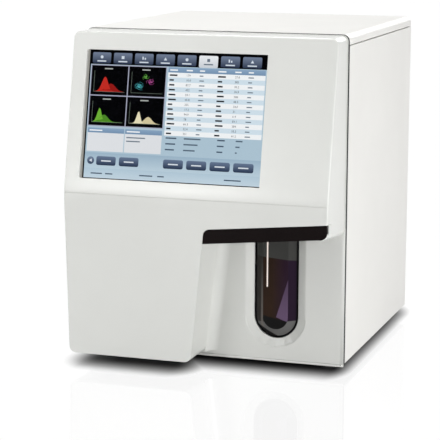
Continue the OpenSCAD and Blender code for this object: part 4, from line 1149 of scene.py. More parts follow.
@dataclass
class SamplingBay:
    """Bay wall with its dish, the fillet at the leg and the dark visor.

    Attributes:
        case: Planes of the case.
        leg_x: Leg's inner edge at the visor.
        visor_z: Height of the visor's left end.
        leg_lean: Lean of that edge, in degrees.
        fillet_r: Radius of the fillet at the leg.
        fillet_ends: Its gaps to the case's foot and the visor.
        fillet_in: Its reach into the leg and the wall.
        dish_soft: Width of the dish's soft rim.
        dish_in: How far that rim is drawn in.
        dish_half: Half width of the dish's field.
        dish_rim: Distances of the rim's points from the key.
        rim_r: Rounding of the wall's lower edge.
        rim_w: Width of the wall's soft right edge.
        rim_steps: Faces across that edge.
        rim_top: Its end above the visor's left end.
        foot_r: Radius of the wall's lower right corner.
        visor_rise: Rise of the visor, in degrees.
        corner_r: Half axes of the visor's right corner.
        corner_steps: Faces round that corner.
        corner_past: How far its cutter stands out.
        visor_h: Height of the visor's right end.
        visor_d: Depth of that end.
        visor_end: Width of that end.
        notch_d: Depth of the cover's notch for it.
        rebate: Depth of the gap behind the frame's rim.
        gap_from: Thickness of that rim.
        seal_in: Insets of the dark rubber strip that paints the gap's shade, side and top.
        seal_gap: Gap round that strip.
        lip_t: Thickness of the lip under the corner.
        lip_in: Set-back of the lip.
        lip_r: Rounding of the lip.
        ceiling_drop: Fall of the ceiling, in degrees.
        line_z: Height of the flange line.
        line_h: Height of that line.
        line_d: Depth of that line.
        line_near: Height round it without the dish's rim.
        visor_r: Rounding of the visor's edges.
    """

    case: CaseSizes
    leg_x: float = 10.3
    visor_z: float = 160.0
    leg_lean: float = 6.7
    fillet_r: float = 12.0
    fillet_ends: Flat = (3.5, 9.0)
    fillet_in: Flat = (1.5, 0.2)
    dish_soft: float = 3.0
    dish_in: float = 4.6
    dish_half: float = 45.0
    dish_rim: Flat = (38.0, 43.0)
    rim_r: float = 1.2
    rim_w: float = 4.2
    rim_steps: int = 7
    rim_top: float = 14.0
    foot_r: float = 3.0
    visor_rise: float = 5.45
    corner_r: Flat = (10.5, 8.0)
    corner_steps: int = 9
    corner_past: float = 14.0
    visor_h: float = 16.7
    visor_d: float = 5.0
    visor_end: float = 3.2
    notch_d: float = 12.0
    rebate: float = 4.5
    gap_from: float = 2.0
    seal_in: Flat = (0.35, 0.25)
    seal_gap: float = 0.05
    lip_t: float = 1.2
    lip_in: float = 0.3
    lip_r: float = 0.4
    ceiling_drop: float = 5.5
    line_z: float = 12.6
    line_h: float = 0.8
    line_d: float = 1.6
    line_near: float = 5.0
    visor_r: float = 0.9

    def build(self) -> None:
        """Makes the bay."""
        self.wall()
        self.fillet()
        self.visor()

    def leg_edge(self, z: float) -> float:
        """Place of the leg's inner wall at a height."""
        return self.leg_x - (self.visor_z - z) * math.tan(math.radians(self.leg_lean))

    def wall(self) -> None:
        """Makes the bay wall, which is the front frame, and a dark rubber strip in the gap behind its rim that paints
        the gap's shade.
        """
        case = self.case
        key_low, key_high = (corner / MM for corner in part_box("aspirate_key"))
        key_x = (key_low.x + key_high.x) / 2
        middle_z = key_low.z + (key_high.x - key_low.x) / 2
        edge, foot = case.half_w - case.side_step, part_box("front_frame")[0].z / MM

        def on_rim(middle: Vector, along: Vector) -> bool:
            """Whether an edge is the dish's rim on the wall."""
            near = abs(middle.x - key_x) < self.dish_half and middle.z < key_high.z
            return near and middle.y < case.y_bay + SLACK and abs(middle.z - self.line_z) > self.line_near

        def drawn_in(point: Vector) -> Point:
            """Moves a point of the dish's rim towards the key."""
            out = Vector((point.x - key_x, 0.0, min(point.z - middle_z, 0.0)))
            on_wall = abs(point.y - case.y_bay) <= self.seal_gap and point.z <= key_high.z
            if not on_wall or not self.dish_rim[0] < out.length < self.dish_rim[1]:
                return point
            return point - out.normalized() * self.dish_in

        def low_corner(middle: Vector, along: Vector) -> bool:
            """Whether an edge is the wall's lower right corner."""
            return abs(along.y) > 0.9 and middle.x > edge - 0.5 and middle.z < foot + 0.5

        def low_edge(middle: Vector, along: Vector) -> bool:
            """Whether an edge is the wall's lower front edge in the bay."""
            return middle.y < case.y_bay + SLACK and middle.z < foot + SLACK and middle.x > 0

        front, gap, top = case.y_bay - 2 * OVER, case.y_bay + self.gap_from, self.visor_z + self.rim_top
        turns = [math.radians(90 * i / self.rim_steps) for i in range(self.rim_steps + 1)]
        bend = [(edge - self.rim_w * (1 - math.sin(t)), case.y_bay + self.gap_from * (1 - math.cos(t))) for t in turns]
        past = [(edge + 4 * OVER, gap), (edge + 4 * OVER, front), (edge - self.rim_w, front)]
        outer, back = (-2 * OVER, -2 * OVER), case.y_panel + OVER
        solid = Solid.of_node("front_frame").cut(
            self.hoop_bar(outer, (case.side_step, case.top_step), case.y_bay - OVER, back, 0.0),
            self.hoop_bar(outer, (self.rebate, self.rebate), gap, back, 0.0),
            Solid.prism(bend + past, -OVER, top),
            Solid.box((-case.half_w - OVER, case.y_bay - OVER, self.line_z),
                      (case.half_w + OVER, case.y_bay + self.line_d, self.line_z + self.line_h)))
        solid.flattened(Solid.CUT_FLAT).moved(drawn_in).sliced(2, [top]).sliced(0, [0.0])
        solid.rounded(self.dish_soft, 8, 8.0, on_rim)
        solid.rounded(self.foot_r, 5, 40.0, low_corner)
        solid.rounded(self.rim_r, 4, 40.0, low_edge)
        solid.piece("bay_wall_frame", Slot.front_plastic, Body.CHASSIS, "front_frame")
        # Painted shade: a dark rubber strip fills the gap behind the rim, so the gap reads dark from its colour.
        inner = self.rebate - 2 * self.seal_gap
        gap_shade_strip = self.hoop_bar(self.seal_in, (inner, inner), gap + self.seal_gap, case.y_panel - self.seal_gap,
                             case.case_z)
        gap_shade_strip.piece("frame_gap_seal", Slot.rubber, Body.CHASSIS)

    def hoop_bar(self, outer: Flat, inner: Flat, front: float, back: float, low: float) -> Solid:
        """Bar round the case's sides and top.

        Args:
            outer: Its outer insets from the sides and the top.
            inner: Its inner insets.
            front: Its front.
            back: Its back.
            low: Height of its two ends.

        Returns:
            The bar.
        """
        outline = self.case.hoop(*outer, low) + list(reversed(self.case.hoop(*inner, low)))
        return Solid.prism(outline, front, back, lambda u, v, depth: (u, depth, v))

    def fillet(self) -> None:
        """Makes the soft fillet between the leg's inner wall and the bay wall."""
        y, r = self.case.y_bay, self.fillet_r
        into_leg, into_wall = self.fillet_in
        rings = []
        for z in (self.case.case_z + self.fillet_ends[0], self.visor_z - self.fillet_ends[1]):
            x = self.leg_edge(z)
            outline = ([(x - into_leg, y + into_wall), (x + r, y + into_wall)] + arc((x + r, y - r), r, 90, 180, 10)
                       + [(x - into_leg, y - r)])
            rings.append([(u, v, z) for u, v in outline])
        Solid.loft(rings).piece("bay_corner_fillet", Slot.front_plastic, Body.CHASSIS)

    def corner(self, outset: float) -> list[Flat]:
        """Bend of the visor's lower right corner in front view, set out by a distance."""
        rise, count = math.radians(self.visor_rise), self.corner_steps
        wide, high = self.corner_r
        x = self.case.front_half - self.lip_t - wide
        z = self.visor_z + (x - self.leg_x) * math.tan(rise) + high / math.cos(rise)
        start = self.visor_rise - 90
        turns = [math.radians(start - start * i / count) for i in range(count + 1)]
        return [(x + (wide + outset) * math.cos(t), z + (high + outset) * math.sin(t)) for t in turns]

    def corner_bar(self, outline: Sequence[Flat], front: float, back: float) -> Solid:
        """Outline in front view carried from front to back along the falling ceiling."""
        fall = math.tan(math.radians(self.ceiling_drop))
        return Solid.prism(outline, front, back, lambda u, v, depth: (u, depth, v - (depth - self.case.y_front) * fall))

    def corner_wedge(self, outset: float) -> Solid:
        """Everything below and right of the visor's corner."""
        bend, past = self.corner(outset), self.corner_past
        right, low = self.case.front_half + past, bend[0][1] - past
        outline = bend + [(right, bend[-1][1] + past * 0.1), (right, low), (bend[0][0], low)]
        return self.corner_bar(outline, self.case.y_front - 2 * OVER, self.case.y_bay)

    def visor(self) -> None:
        """Makes the dark visor with its softened edges and the pale lip round its right end."""
        case = self.case
        inner, outer = self.corner(FLUSH), self.corner(self.lip_t - FLUSH)
        side, foot = case.front_half, inner[-1][1]
        rise = (side - self.leg_x) * math.tan(math.radians(self.visor_rise))
        top = self.visor_z + rise + self.visor_h - SLACK
        face = case.flat_y(foot)
        end, notch = face + self.visor_d, face + self.notch_d
        past = (side + 2 * OVER, notch + 4 * OVER, top + 10 * OVER)
        below = foot - 30 * OVER
        solid = Solid.of_node("bay_visor").cut(self.corner_wedge(0.0),
                                               Solid.box((side - self.visor_end, end, below), past),
                                               Solid.box((side - self.lip_t, face - 20 * OVER, below), past))
        solid.rounded(self.visor_r, 3, 35.0)
        solid.piece("bay_visor_moulding", Slot.visor_black, Body.CHASSIS, "bay_visor")
        lip = self.corner_bar(inner + list(reversed(outer)), case.flat_y(inner[4][1]) + self.lip_in, case.y_bay)
        lip.join(Solid.box((side - self.visor_end + 0.1, end + 0.1, foot - 1.5), (side - FLUSH, notch - SLACK, top)))
        lip.rounded(self.lip_r, 2, 40.0, lambda middle, along: middle.y < end + 0.5)
        lip.piece("visor_corner_lip", Slot.front_plastic, Body.CHASSIS)


@dataclass
class AspirateKey:
    """Smoked key: a U-shaped plate with a raised face and sloping flanks.

    Attributes:
        face_r: Half width of the raised face.
        edge_back: Set-back of its edge.
        plate_back: Depth of the plate behind that.
        tongue: Height of the hinge tongue.
        tongue_r: Rounding of that tongue.
        soft: Rounding of the face.
        side_r: Rounding of the outer edge.
        arc_steps: Faces round the lower end.
        spring_keep: Share of the pressed spring's length; not used.
    """

    face_r: float = 15.3
    edge_back: float = 5.7
    plate_back: float = 8.0
    tongue: float = 17.5
    tongue_r: float = 0.4
    soft: float = 0.8
    side_r: float = 0.8
    arc_steps: int = 40
    spring_keep: float = 0.62

    def build(self) -> None:
        """Makes the key with the part of it that hides above the visor, and its spring."""
        low, high = (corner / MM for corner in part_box("aspirate_key"))
        x, r = (low.x + high.x) / 2, (high.x - low.x) / 2
        z_arc, y_face, top = low.z + r, low.y, high.z - self.tongue
        y_edge = y_face + self.edge_back
        slope = (y_edge - y_face) / (r - self.face_r)

        def ring(radius: float, y: float) -> list[Point]:
            """U of a radius at a depth, closed over its straight top."""
            bend = arc((x, z_arc), radius, 180, 360, self.arc_steps)
            return [(x - radius, y, top)] + [(u, y, v) for u, v in bend] + [(x + radius, y, top)]

        profile = [(r, y_edge + self.plate_back), (r, y_edge + self.side_r),
                   (r - 0.3 * self.side_r, y_edge + 0.25 * self.side_r),
                   (r - self.side_r, y_edge - self.side_r * slope)]
        for share in (1.0, 0.5, 0.0, -0.5, -1.0):
            fall = slope * self.soft * (share + 1) ** 2 / 4
            profile.append((self.face_r + share * self.soft, y_face + fall))
        solid = Solid.loft([ring(radius, y) for radius, y in profile])
        upper = Solid.box((low.x - OVER, low.y - OVER, top - OVER), (high.x + OVER, high.y + OVER, high.z + OVER))
        tongue = Solid.of_node("aspirate_key").boolean(upper, "INTERSECT")
        solid.join(tongue.rounded(self.tongue_r, 2, 40.0))
        solid.piece("aspirate_key_moulding", Slot.key_smoke, Body.KEY, "aspirate_key", smooth=24.0)
        self.spring()

    def spring(self) -> None:
        """Makes the return spring."""
        coil = Solid.of_node("key_spring").piece("key_return_spring", Slot.steel, Body.CHASSIS, "key_spring",
                                                 smooth=60.0)
        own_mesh(coil)


class Ink(Enum):
    """Colours of the display's picture, from 0 to 255."""

    BLACK = (3, 3, 4)
    # Painted light: the bezel's grey glows as part of the lit picture.
    BEZEL = (158, 156, 150)
    PALE = (176, 198, 212)
    STEEL = (118, 146, 176)
    STEEL_TOP = (140, 166, 194)
    HEAD_TOP = (142, 168, 196)
    STRIPE = (211, 226, 236)
    WHITE = (246, 247, 248)
    GREY = (226, 227, 230)
    SLATE = (46, 56, 78)
    SLATE_TOP = (116, 128, 150)
    DARK = (38, 40, 46)
    MUTED = (104, 116, 130)
    LAVENDER = (168, 170, 190)
    OPEN_TAB = (206, 210, 216)
    OPEN_TAB_TOP = (240, 241, 243)
    TAB_MARK = (214, 222, 232)
    AXIS = (120, 132, 120)
    CAPTION = (176, 180, 176)
    RED = (196, 44, 34)
    DEEP_RED = (150, 26, 22)
    GREEN = (110, 176, 52)
    DEEP_GREEN = (76, 136, 36)
    CREAM = (232, 222, 186)
    SAND = (214, 200, 158)
    CYAN = (92, 206, 214)
    PINK = (206, 92, 170)
    LEAF = (118, 196, 84)
    LABEL = (74, 90, 108)
    ENTRY = (88, 104, 120)
    TRAY = (190, 209, 221)
    TRAY_TOP = (158, 182, 200)
    BUTTON = (38, 50, 74)
    BUTTON_TOP = (104, 120, 146)
    BUTTON_MARK = (222, 228, 236)
    ROUND = (44, 56, 80)
    ROUND_TOP = (120, 136, 160)
    STATUS = (198, 215, 226)
    STATUS_TOP = (182, 203, 217)


class Picture:
    """Lit picture of the display: thin closed patches with colours of their own.

    Each patch stands some layers in front of the picture's ground and reaches half a layer behind it.
    """

    ATTRIBUTE = "picture"
    LAYER = 0.02
    BEHIND = 0.5

    def __init__(self, case: CaseSizes, left: float, low: float, depth: float) -> None:
        """Starts an empty picture.

        Args:
            case: Planes of the case.
            left: Place of the picture's left edge.
            low: Place of its lower edge up the slope.
            depth: Depth of its ground behind the panel's face.
        """
        self.case = case
        self.left = left
        self.low = low
        self.depth = depth
        self.bm = bmesh.new()
        self.paint = self.bm.verts.layers.float_color.new(self.ATTRIBUTE)

    def place(self, u: float, v: float, layer: float) -> Point:
        """Point of the picture in millimetres, on a layer in front of its ground."""
        return self.case.on_screen(self.left + u, self.low + v, self.depth - layer * self.LAYER)

    def area(self, outline: Sequence[Flat], layer: int, ink: Ink, top: Optional[Ink] = None,
             behind: float = BEHIND) -> None:
        """Adds a patch.

        Args:
            outline: Its points, anticlockwise.
            layer: Its layer.
            ink: Its colour, or that of its lower edge.
            top: Colour of its upper edge, where it fades.
            behind: How far it reaches behind the ground, in layers.
        """
        heights = [v for _, v in outline]
        low, high = min(heights), max(heights)
        first, second = linear(ink.value), linear((top or ink).value)
        rows = []
        for height in (layer, -behind):
            row = []
            for u, v in outline:
                vert = self.bm.verts.new(self.place(u, v, height))
                share = (v - low) / (high - low) if high > low else 0.0
                vert[self.paint] = [a + (b - a) * share for a, b in zip(first, second)]
                row.append(vert)
            rows.append(row)
        front, back = rows
        self.bm.faces.new(front)
        self.bm.faces.new(list(reversed(back)))
        for i in range(len(front)):
            k = (i + 1) % len(front)
            self.bm.faces.new((front[k], front[i], back[i], back[k]))

    def bar(self, u0: float, v0: float, u1: float, v1: float, layer: int, ink: Ink, top: Optional[Ink] = None,
            radius: float = 0.0) -> None:
        """Adds a rectangle, with rounded corners where a radius is given."""
        outline = [(u0, v0), (u1, v0), (u1, v1), (u0, v1)]
        if radius > 0:
            corners = ((u1 - radius, v0 + radius), (u1 - radius, v1 - radius), (u0 + radius, v1 - radius),
                       (u0 + radius, v0 + radius))
            outline = [p for i, at in enumerate(corners) for p in arc(at, radius, 90 * i - 90, 90 * i, 3)]
        self.area(outline, layer, ink, top)

    def digits(self, text: str, u: float, v: float, size: float, layer: int, ink: Ink) -> None:
        """Adds plain digits.

        Args:
            text: The digits.
            u: Place of their left end.
            v: Place of their foot.
            size: Their size.
            layer: Their layer.
            ink: Their colour.
        """
        curve = bpy.data.curves.new("digits", "FONT")
        curve.body = text
        curve.size = size
        curve.resolution_u = 2
        curve.extrude = self.BEHIND
        thing = bpy.data.objects.new("digits", curve)
        bpy.context.scene.collection.objects.link(thing)
        bpy.context.view_layer.update()
        mesh = bpy.data.meshes.new_from_object(thing.evaluated_get(bpy.context.evaluated_depsgraph_get()))
        verts = [self.bm.verts.new(self.place(u + p.co.x, v + p.co.y, layer if p.co.z > 0 else -self.BEHIND))
                 for p in mesh.vertices]
        for vert in verts:
            vert[self.paint] = linear(ink.value)
        for face in mesh.polygons:
            self.bm.faces.new([verts[i] for i in face.vertices])
        bpy.data.objects.remove(thing)
        bpy.data.curves.remove(curve)
        bpy.data.meshes.remove(mesh)

    def piece(self, name: str, *nodes: str) -> bpy.types.Object:
        """Makes the picture's piece."""
        thing = Solid(self.bm).faced().object(name)
        thing.data.materials.append(Slot.lcd.value.material())
        return ridden(thing, Slot.lcd, Body.CHASSIS, *nodes)


@dataclass
class Display:
    """Touch glass and the lit display behind it, with a plain layout of its own.

    Attributes:
        case: Planes of the case.
        left: Left edge of the opening.
        low: Lower edge of the opening.
        width: Width of the opening.
        height: Height of the opening.
        ground: Depth of the picture.
        body_lap: Lap of the body behind the panel.
        body_depth: Depth of that body.
        glass_r: Rounding of the glass's edges.
        edge_left: Dark border at the left.
        edge_right: Dark border at the right.
        edge_low: Dark border below.
        edge_top: Dark border above.
        bezel: Ends of the pale bezel at the left, and its lap; it is drawn in the lit picture, so it glows with painted
            light.
        tab_h: Height of the bar of tabs.
        chart: Lower left corner of the charts.
        chart_size: Size of a chart.
        chart_gap: Gap between charts.
        columns: Places of the table's columns.
    """

    case: CaseSizes
    left: float = -137.7
    low: float = 17.7
    width: float = 215.5
    height: float = 149.1
    ground: float = 4.45
    body_lap: float = 4.0
    body_depth: float = 6.2
    glass_r: float = 0.25
    edge_left: float = 1.4
    edge_right: float = 1.2
    edge_low: float = 1.2
    edge_top: float = 1.6
    bezel: tuple[float, float, float] = (-3.4, -0.4, 2.0)
    tab_h: float = 16.5
    chart: Flat = (3.0, 62.0)
    chart_size: Flat = (45.0, 34.0)
    chart_gap: float = 1.2
    columns: tuple[float, ...] = (2.0, 22.0, 38.0, 60.0, 80.0, 96.0)

    # Humps of the charts by column and row: colour, middle, spread and peak, in shares of the chart.
    HUMPS: ClassVar[dict[tuple[int, int], list[tuple[Ink, float, float, float]]]] = {
        (0, 1): [(Ink.RED, 0.36, 0.10, 0.74), (Ink.DEEP_RED, 0.56, 0.15, 0.40)],
        (0, 0): [(Ink.GREEN, 0.24, 0.07, 0.70), (Ink.DEEP_GREEN, 0.40, 0.13, 0.36)],
        (1, 0): [(Ink.CREAM, 0.30, 0.06, 0.62), (Ink.SAND, 0.62, 0.12, 0.34)],
    }
    # Dot clouds of the scatter chart: colour, middle across and up in shares, spread and count.
    CLOUDS: ClassVar[list[tuple[Ink, float, float, float, int]]] = [
        (Ink.CYAN, 0.30, 0.34, 4.2, 90), (Ink.PINK, 0.60, 0.50, 3.6, 60), (Ink.LEAF, 0.46, 0.66, 3.0, 50)]

    def build(self) -> None:
        """Makes the glass, the display's body and its picture."""
        back = FLUSH * math.cos(self.case.upper)
        glass = Solid.of_node("touch_glass").moved(lambda p: (p.x, p.y + back, p.z))
        glass.rounded(self.glass_r, 2, 40.0)
        glass.piece("touch_panel", Slot.touch_glass, Body.CHASSIS, "touch_glass")
        picture = Picture(self.case, self.left, self.low, self.ground)
        for draw in (self.ground_plate, self.tabs, self.charts, self.messages, self.table, self.details, self.buttons):
            draw(picture)
        picture.piece("display_picture", "lcd_module")

    def band(self, picture: Picture, low: float, high: float, layer: int, ink: Ink, top: Optional[Ink] = None) -> None:
        """Band over the picture's whole width."""
        picture.bar(self.edge_left, low, self.width - self.edge_right, high, layer, ink, top)

    def ground_plate(self, picture: Picture) -> None:
        """Body of the display with its dark border, and the ground of the picture."""
        lap, right, high = self.body_lap, self.width + self.body_lap, self.height + self.body_lap
        outline = [(-lap, -lap), (right, -lap), (right, high), (-lap, high)]
        picture.area(outline, 0, Ink.BLACK, behind=self.body_depth / Picture.LAYER)
        self.band(picture, self.edge_low, self.height - self.edge_top, 1, Ink.PALE)
        # The pale bezel is part of the lit picture, so its grey glows as painted light and no lamp lights it.
        start, end, past = self.bezel
        picture.bar(start, -past, end, self.height + past, 1, Ink.BEZEL)

    def tabs(self, picture: Picture) -> None:
        """Dark bar of slate tabs along the top."""
        low, high = self.height - self.tab_h, self.height - self.edge_top
        self.band(picture, low, high, 2, Ink.BLACK)
        start, width, gap, count, open_tab, inset, half = 3.2, 22.6, 3.4, 8, 5, 1.2, 5.5
        for i in range(count):
            u = start + i * (width + gap)
            lit = i == open_tab
            inks = (Ink.OPEN_TAB, Ink.OPEN_TAB_TOP) if lit else (Ink.SLATE, Ink.SLATE_TOP)
            picture.bar(u, low if lit else low + inset, u + width, high - inset, 3, *inks, radius=1.6)
            mark = Ink.MUTED if lit else Ink.TAB_MARK
            middle = u + width / 2
            picture.bar(middle - half, low + 3.0, middle + half, low + 4.4, 4, mark)
            self.glyph(picture, i, middle, low + 8.4, mark)

    @staticmethod
    def glyph(picture: Picture, index: int, u: float, v: float, ink: Ink) -> None:
        """Plain sign on a tab: a disc, a square, a pair of bars or a triangle."""
        if index % 4 == 0:
            picture.area(arc((u, v), 1.8, 0, 330, 11), 4, ink)
        elif index % 4 == 1:
            picture.bar(u - 1.7, v - 1.7, u + 1.7, v + 1.7, 4, ink)
        elif index % 4 == 2:
            picture.bar(u - 2.2, v - 1.6, u - 0.6, v + 1.8, 4, ink)
            picture.bar(u + 0.6, v - 1.6, u + 2.2, v + 0.6, 4, ink)
        else:
            picture.area([(u - 2.0, v - 1.6), (u + 2.0, v - 1.6), (u, v + 1.9)], 4, ink)

    def charts(self, picture: Picture) -> None:
        """Four dark charts in two columns on the left."""
        (u0, v0), (wide, high), gap = self.chart, self.chart_size, self.chart_gap
        picture.bar(u0 - 1.0, v0 - 1.0, u0 + 2 * wide + gap + 1.0, v0 + 2 * high + gap + 1.0, 2, Ink.LAVENDER)
        axis, thick = 3.6, 3.9
        for column in range(2):
            for row in range(2):
                left, foot = u0 + column * (wide + gap), v0 + row * (high + gap)
                picture.bar(left, foot, left + wide, foot + high, 3, Ink.BLACK)
                picture.bar(left + axis, foot + axis, left + wide - 3.0, foot + thick, 4, Ink.AXIS)
                picture.bar(left + axis, foot + axis, left + thick, foot + high - 6.0, 4, Ink.AXIS)
                picture.bar(left + 16, foot + high - 4.2, left + 26, foot + high - 2.9, 4, Ink.CAPTION)
                for hump in self.HUMPS.get((column, row), []):
                    self.hump(picture, (left + 4.0, foot + 4.0), (wide - 8.0, high - 11.0), *hump)
        self.clusters(picture, u0 + wide + gap, v0 + high + gap)

    @staticmethod
    def hump(picture: Picture, start: Flat, size: Flat, ink: Ink, middle: float, spread: float, peak: float) -> None:
        """Filled bell curve on a chart."""
        (u, v), (wide, high), steps, foot = start, size, 22, 0.15
        line = []
        for i in range(steps + 1):
            share = i / steps
            tall = peak * math.exp(-((share - middle) / spread) ** 2 / 2)
            line.append((u + share * wide, v + foot + tall * high))
        picture.area([(u, v), (u + wide, v)] + list(reversed(line)), 4, ink)

    def clusters(self, picture: Picture, left: float, foot: float) -> None:
        """Dot clouds on the scatter chart, each set out on a spiral of the golden angle."""
        wide, high = self.chart_size
        golden, half = 2.39996, 0.22
        for index, (ink, across, up, spread, count) in enumerate(self.CLOUDS):
            middle_u, middle_v = left + across * wide, foot + up * high
            for i in range(count):
                angle = golden * i + index
                reach = spread * math.sqrt((i + 0.5) / count) * (1.0 + 0.5 * math.sin(7.1 * i))
                u, v = middle_u + reach * math.cos(angle), middle_v + 0.8 * reach * math.sin(angle)
                picture.bar(u - half, v - half, u + half, v + half, 5, ink)

    def messages(self, picture: Picture) -> None:
        """Two light boxes with steel-blue titles below the charts."""
        low, title, high, wide = 32.0, 53.4, 59.0, self.chart_size[0]
        for i in range(2):
            left = self.chart[0] + i * (wide + self.chart_gap)
            picture.bar(left, low, left + wide, high, 2, Ink.GREY)
            picture.bar(left, title, left + wide, high, 3, Ink.STEEL, Ink.STEEL_TOP)
            picture.bar(left + 2.0, title + 2.0, left + 18.0, title + 3.4, 4, Ink.WHITE)
        for foot, end in ((48.6, 74.0), (44.4, 68.0)):
            picture.bar(51.2, foot, end, foot + 1.3, 4, Ink.MUTED)

    def table(self, picture: Picture) -> None:
        """Striped table of figures on the right."""
        left, right = 97.0, self.width - 2.6
        top, head, row_h, rows = self.height - 17.2, 6.0, 5.55, 13
        picture.bar(left, top - head, right, top, 2, Ink.STEEL, Ink.HEAD_TOP)
        for i, column in enumerate(self.columns):
            start = left + column
            picture.bar(start, top - 3.9, start + (9.5, 7.5, 6.0)[i % 3], top - 2.4, 3, Ink.WHITE)
        for row in range(rows):
            foot = top - head - (row + 1) * row_h
            picture.bar(left, foot, right, foot + row_h, 2, Ink.STRIPE if row % 2 else Ink.WHITE)
            for half in range(2):
                name, value, unit = (left + place for place in self.columns[3 * half:3 * half + 3])
                seed = 7 * row + 5 * half + 3
                picture.bar(name, foot + 1.7, name + 5.2 + seed * 3 % 5, foot + 3.5, 3, Ink.DARK)
                number = f"{(seed * 37) % 91 + 4}.{seed % 10}" if seed % 3 else f"{(seed * 53) % 430 + 20}"
                picture.digits(number, value, foot + 1.5, 3.4, 3, Ink.DARK)
                picture.bar(unit, foot + 2.0, unit + 4.4 + seed % 3, foot + 3.2, 3, Ink.MUTED)

    def details(self, picture: Picture) -> None:
        """Pale band with the sample's particulars below the table."""
        left, top, pitch, high, entry = 99.0, 50.2, 6.6, 1.6, 22.0
        for row in range(3):
            foot = top - row * pitch
            for column, (first, second) in enumerate(((13.0, 20.0), (9.0, 8.0))):
                u = left + column * 62.0
                picture.bar(u, foot, u + first - row, foot + high, 2, Ink.LABEL)
                picture.bar(u + entry, foot, u + entry + second - 3 * row, foot + high, 2, Ink.ENTRY)

    def buttons(self, picture: Picture) -> None:
        """Slate buttons and the status line along the bottom."""
        self.band(picture, 12.4, 30.4, 2, Ink.TRAY, Ink.TRAY_TOP)
        for u in (16.0, 44.0, 98.0, 126.0, 154.0, 182.0):
            picture.bar(u, 16.0, u + 24.0, 26.4, 3, Ink.BUTTON, Ink.BUTTON_TOP, radius=2.2)
            picture.bar(u + 6.0, 20.4, u + 18.0, 21.8, 4, Ink.BUTTON_MARK)
        picture.area(arc((9.0, 21.2), 4.4, 0, 345, 23), 3, Ink.ROUND, Ink.ROUND_TOP)
        picture.area([(7.2, 21.2), (10.4, 19.2), (10.4, 23.2)], 4, Ink.BUTTON_MARK)
        self.band(picture, self.edge_low, 12.0, 2, Ink.STATUS, Ink.STATUS_TOP)
        for u, wide in ((10.0, 14.0), (28.0, 9.0), (70.0, 16.0), (92.0, 8.0), (172.0, 20.0)):
            picture.bar(u, 5.8, u + wide, 7.2, 3, Ink.LABEL)


@dataclass
class Housing:
    """Side panels, top cover, rear panel, feet and rear screws.

    Attributes:
        case: Planes of the case.
        panel_r: Rounding of the painted panels.
        sheet_r: Rounding of the rear sheet.
        foot_in: Inset of a foot's axis.
        head_r: Radius of a screw's head.
        thread_r: Radius of its thread.
        rows: Screws on each side.
        recess: Half length, half width, floor and end of the cross recess.
    """

    case: CaseSizes
    panel_r: float = 0.9
    sheet_r: float = 0.3
    foot_in: float = 14.0
    head_r: float = 2.8
    thread_r: float = 1.5
    rows: int = 4
    recess: tuple[float, float, float, float] = (1.7, 0.35, 0.9, 3.0)

    def build(self) -> None:
        """Makes the panels, the feet and the screws."""
        for node in ("right_side_panel", "left_side_panel", "top_cover"):
            panel = Solid.of_node(node).rounded(self.panel_r, 3, 50.0)
            panel.piece(node + "_sheet", Slot.panel_paint, Body.CHASSIS, node)
        rear = Solid.of_node("rear_panel").rounded(self.sheet_r, 2, 50.0)
        rear.piece("rear_panel_sheet", Slot.rear_paint, Body.CHASSIS, "rear_panel", smooth=10.0)
        self.feet()
        self.screws()

    def feet(self) -> None:
        """Rubber feet with a soft lower edge and a groove, set out by Geometry Nodes."""
        low, high = (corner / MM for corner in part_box("feet"))
        columns, rows = ((low[i] + self.foot_in, high[i] - self.foot_in) for i in (0, 1))
        spots = [(x, y, 0.0) for x in columns for y in rows]
        tall = high.z
        profile = [(5.0, 0.6), (5.6, 0.0), (10.8, 0.0), (11.7, 0.5), (12.1, 1.4), (12.5, 6.0), (12.0, 6.6), (12.0, 7.4),
                   (12.7, 8.0), (13.6, tall - 0.9), (13.2, tall), (2.3, tall), (2.3, 8.0), (5.0, 8.0)]
        scattered("rubber_feet", Solid.lathe(profile, (0, 0, 0), 40), spots, Slot.rubber, Body.CHASSIS, "feet")

    def screws(self) -> None:
        """Rear screws with domed heads and a cross recess, set out by Geometry Nodes."""
        low, high = (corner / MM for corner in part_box("rear_screws"))
        radius, thread, back = self.head_r, self.thread_r, low.y - self.case.y_rear
        pitch = (high.z - low.z - 2 * radius) / (self.rows - 1)
        spots = [(x, self.case.y_rear, low.z + radius + i * pitch) for x in (low.x + radius, high.x - radius)
                 for i in range(self.rows)]
        profile = [(0.0, 1.8), (1.4, 1.65), (2.3, 1.2), (radius, 0.5), (radius, 0.0), (thread, 0.0),
                   (thread, back), (0.0, back)]
        screw = Solid.lathe(profile, (0, 0, 0), 24, backwards=True)
        long, thin, deep, past = self.recess
        for wide, high in ((thin, long), (long, thin)):
            screw = screw.cut(Solid.box((-wide, deep, -high), (wide, past, high)))
        scattered("rear_panel_screws", screw, spots, Slot.steel, Body.CHASSIS, "rear_screws")


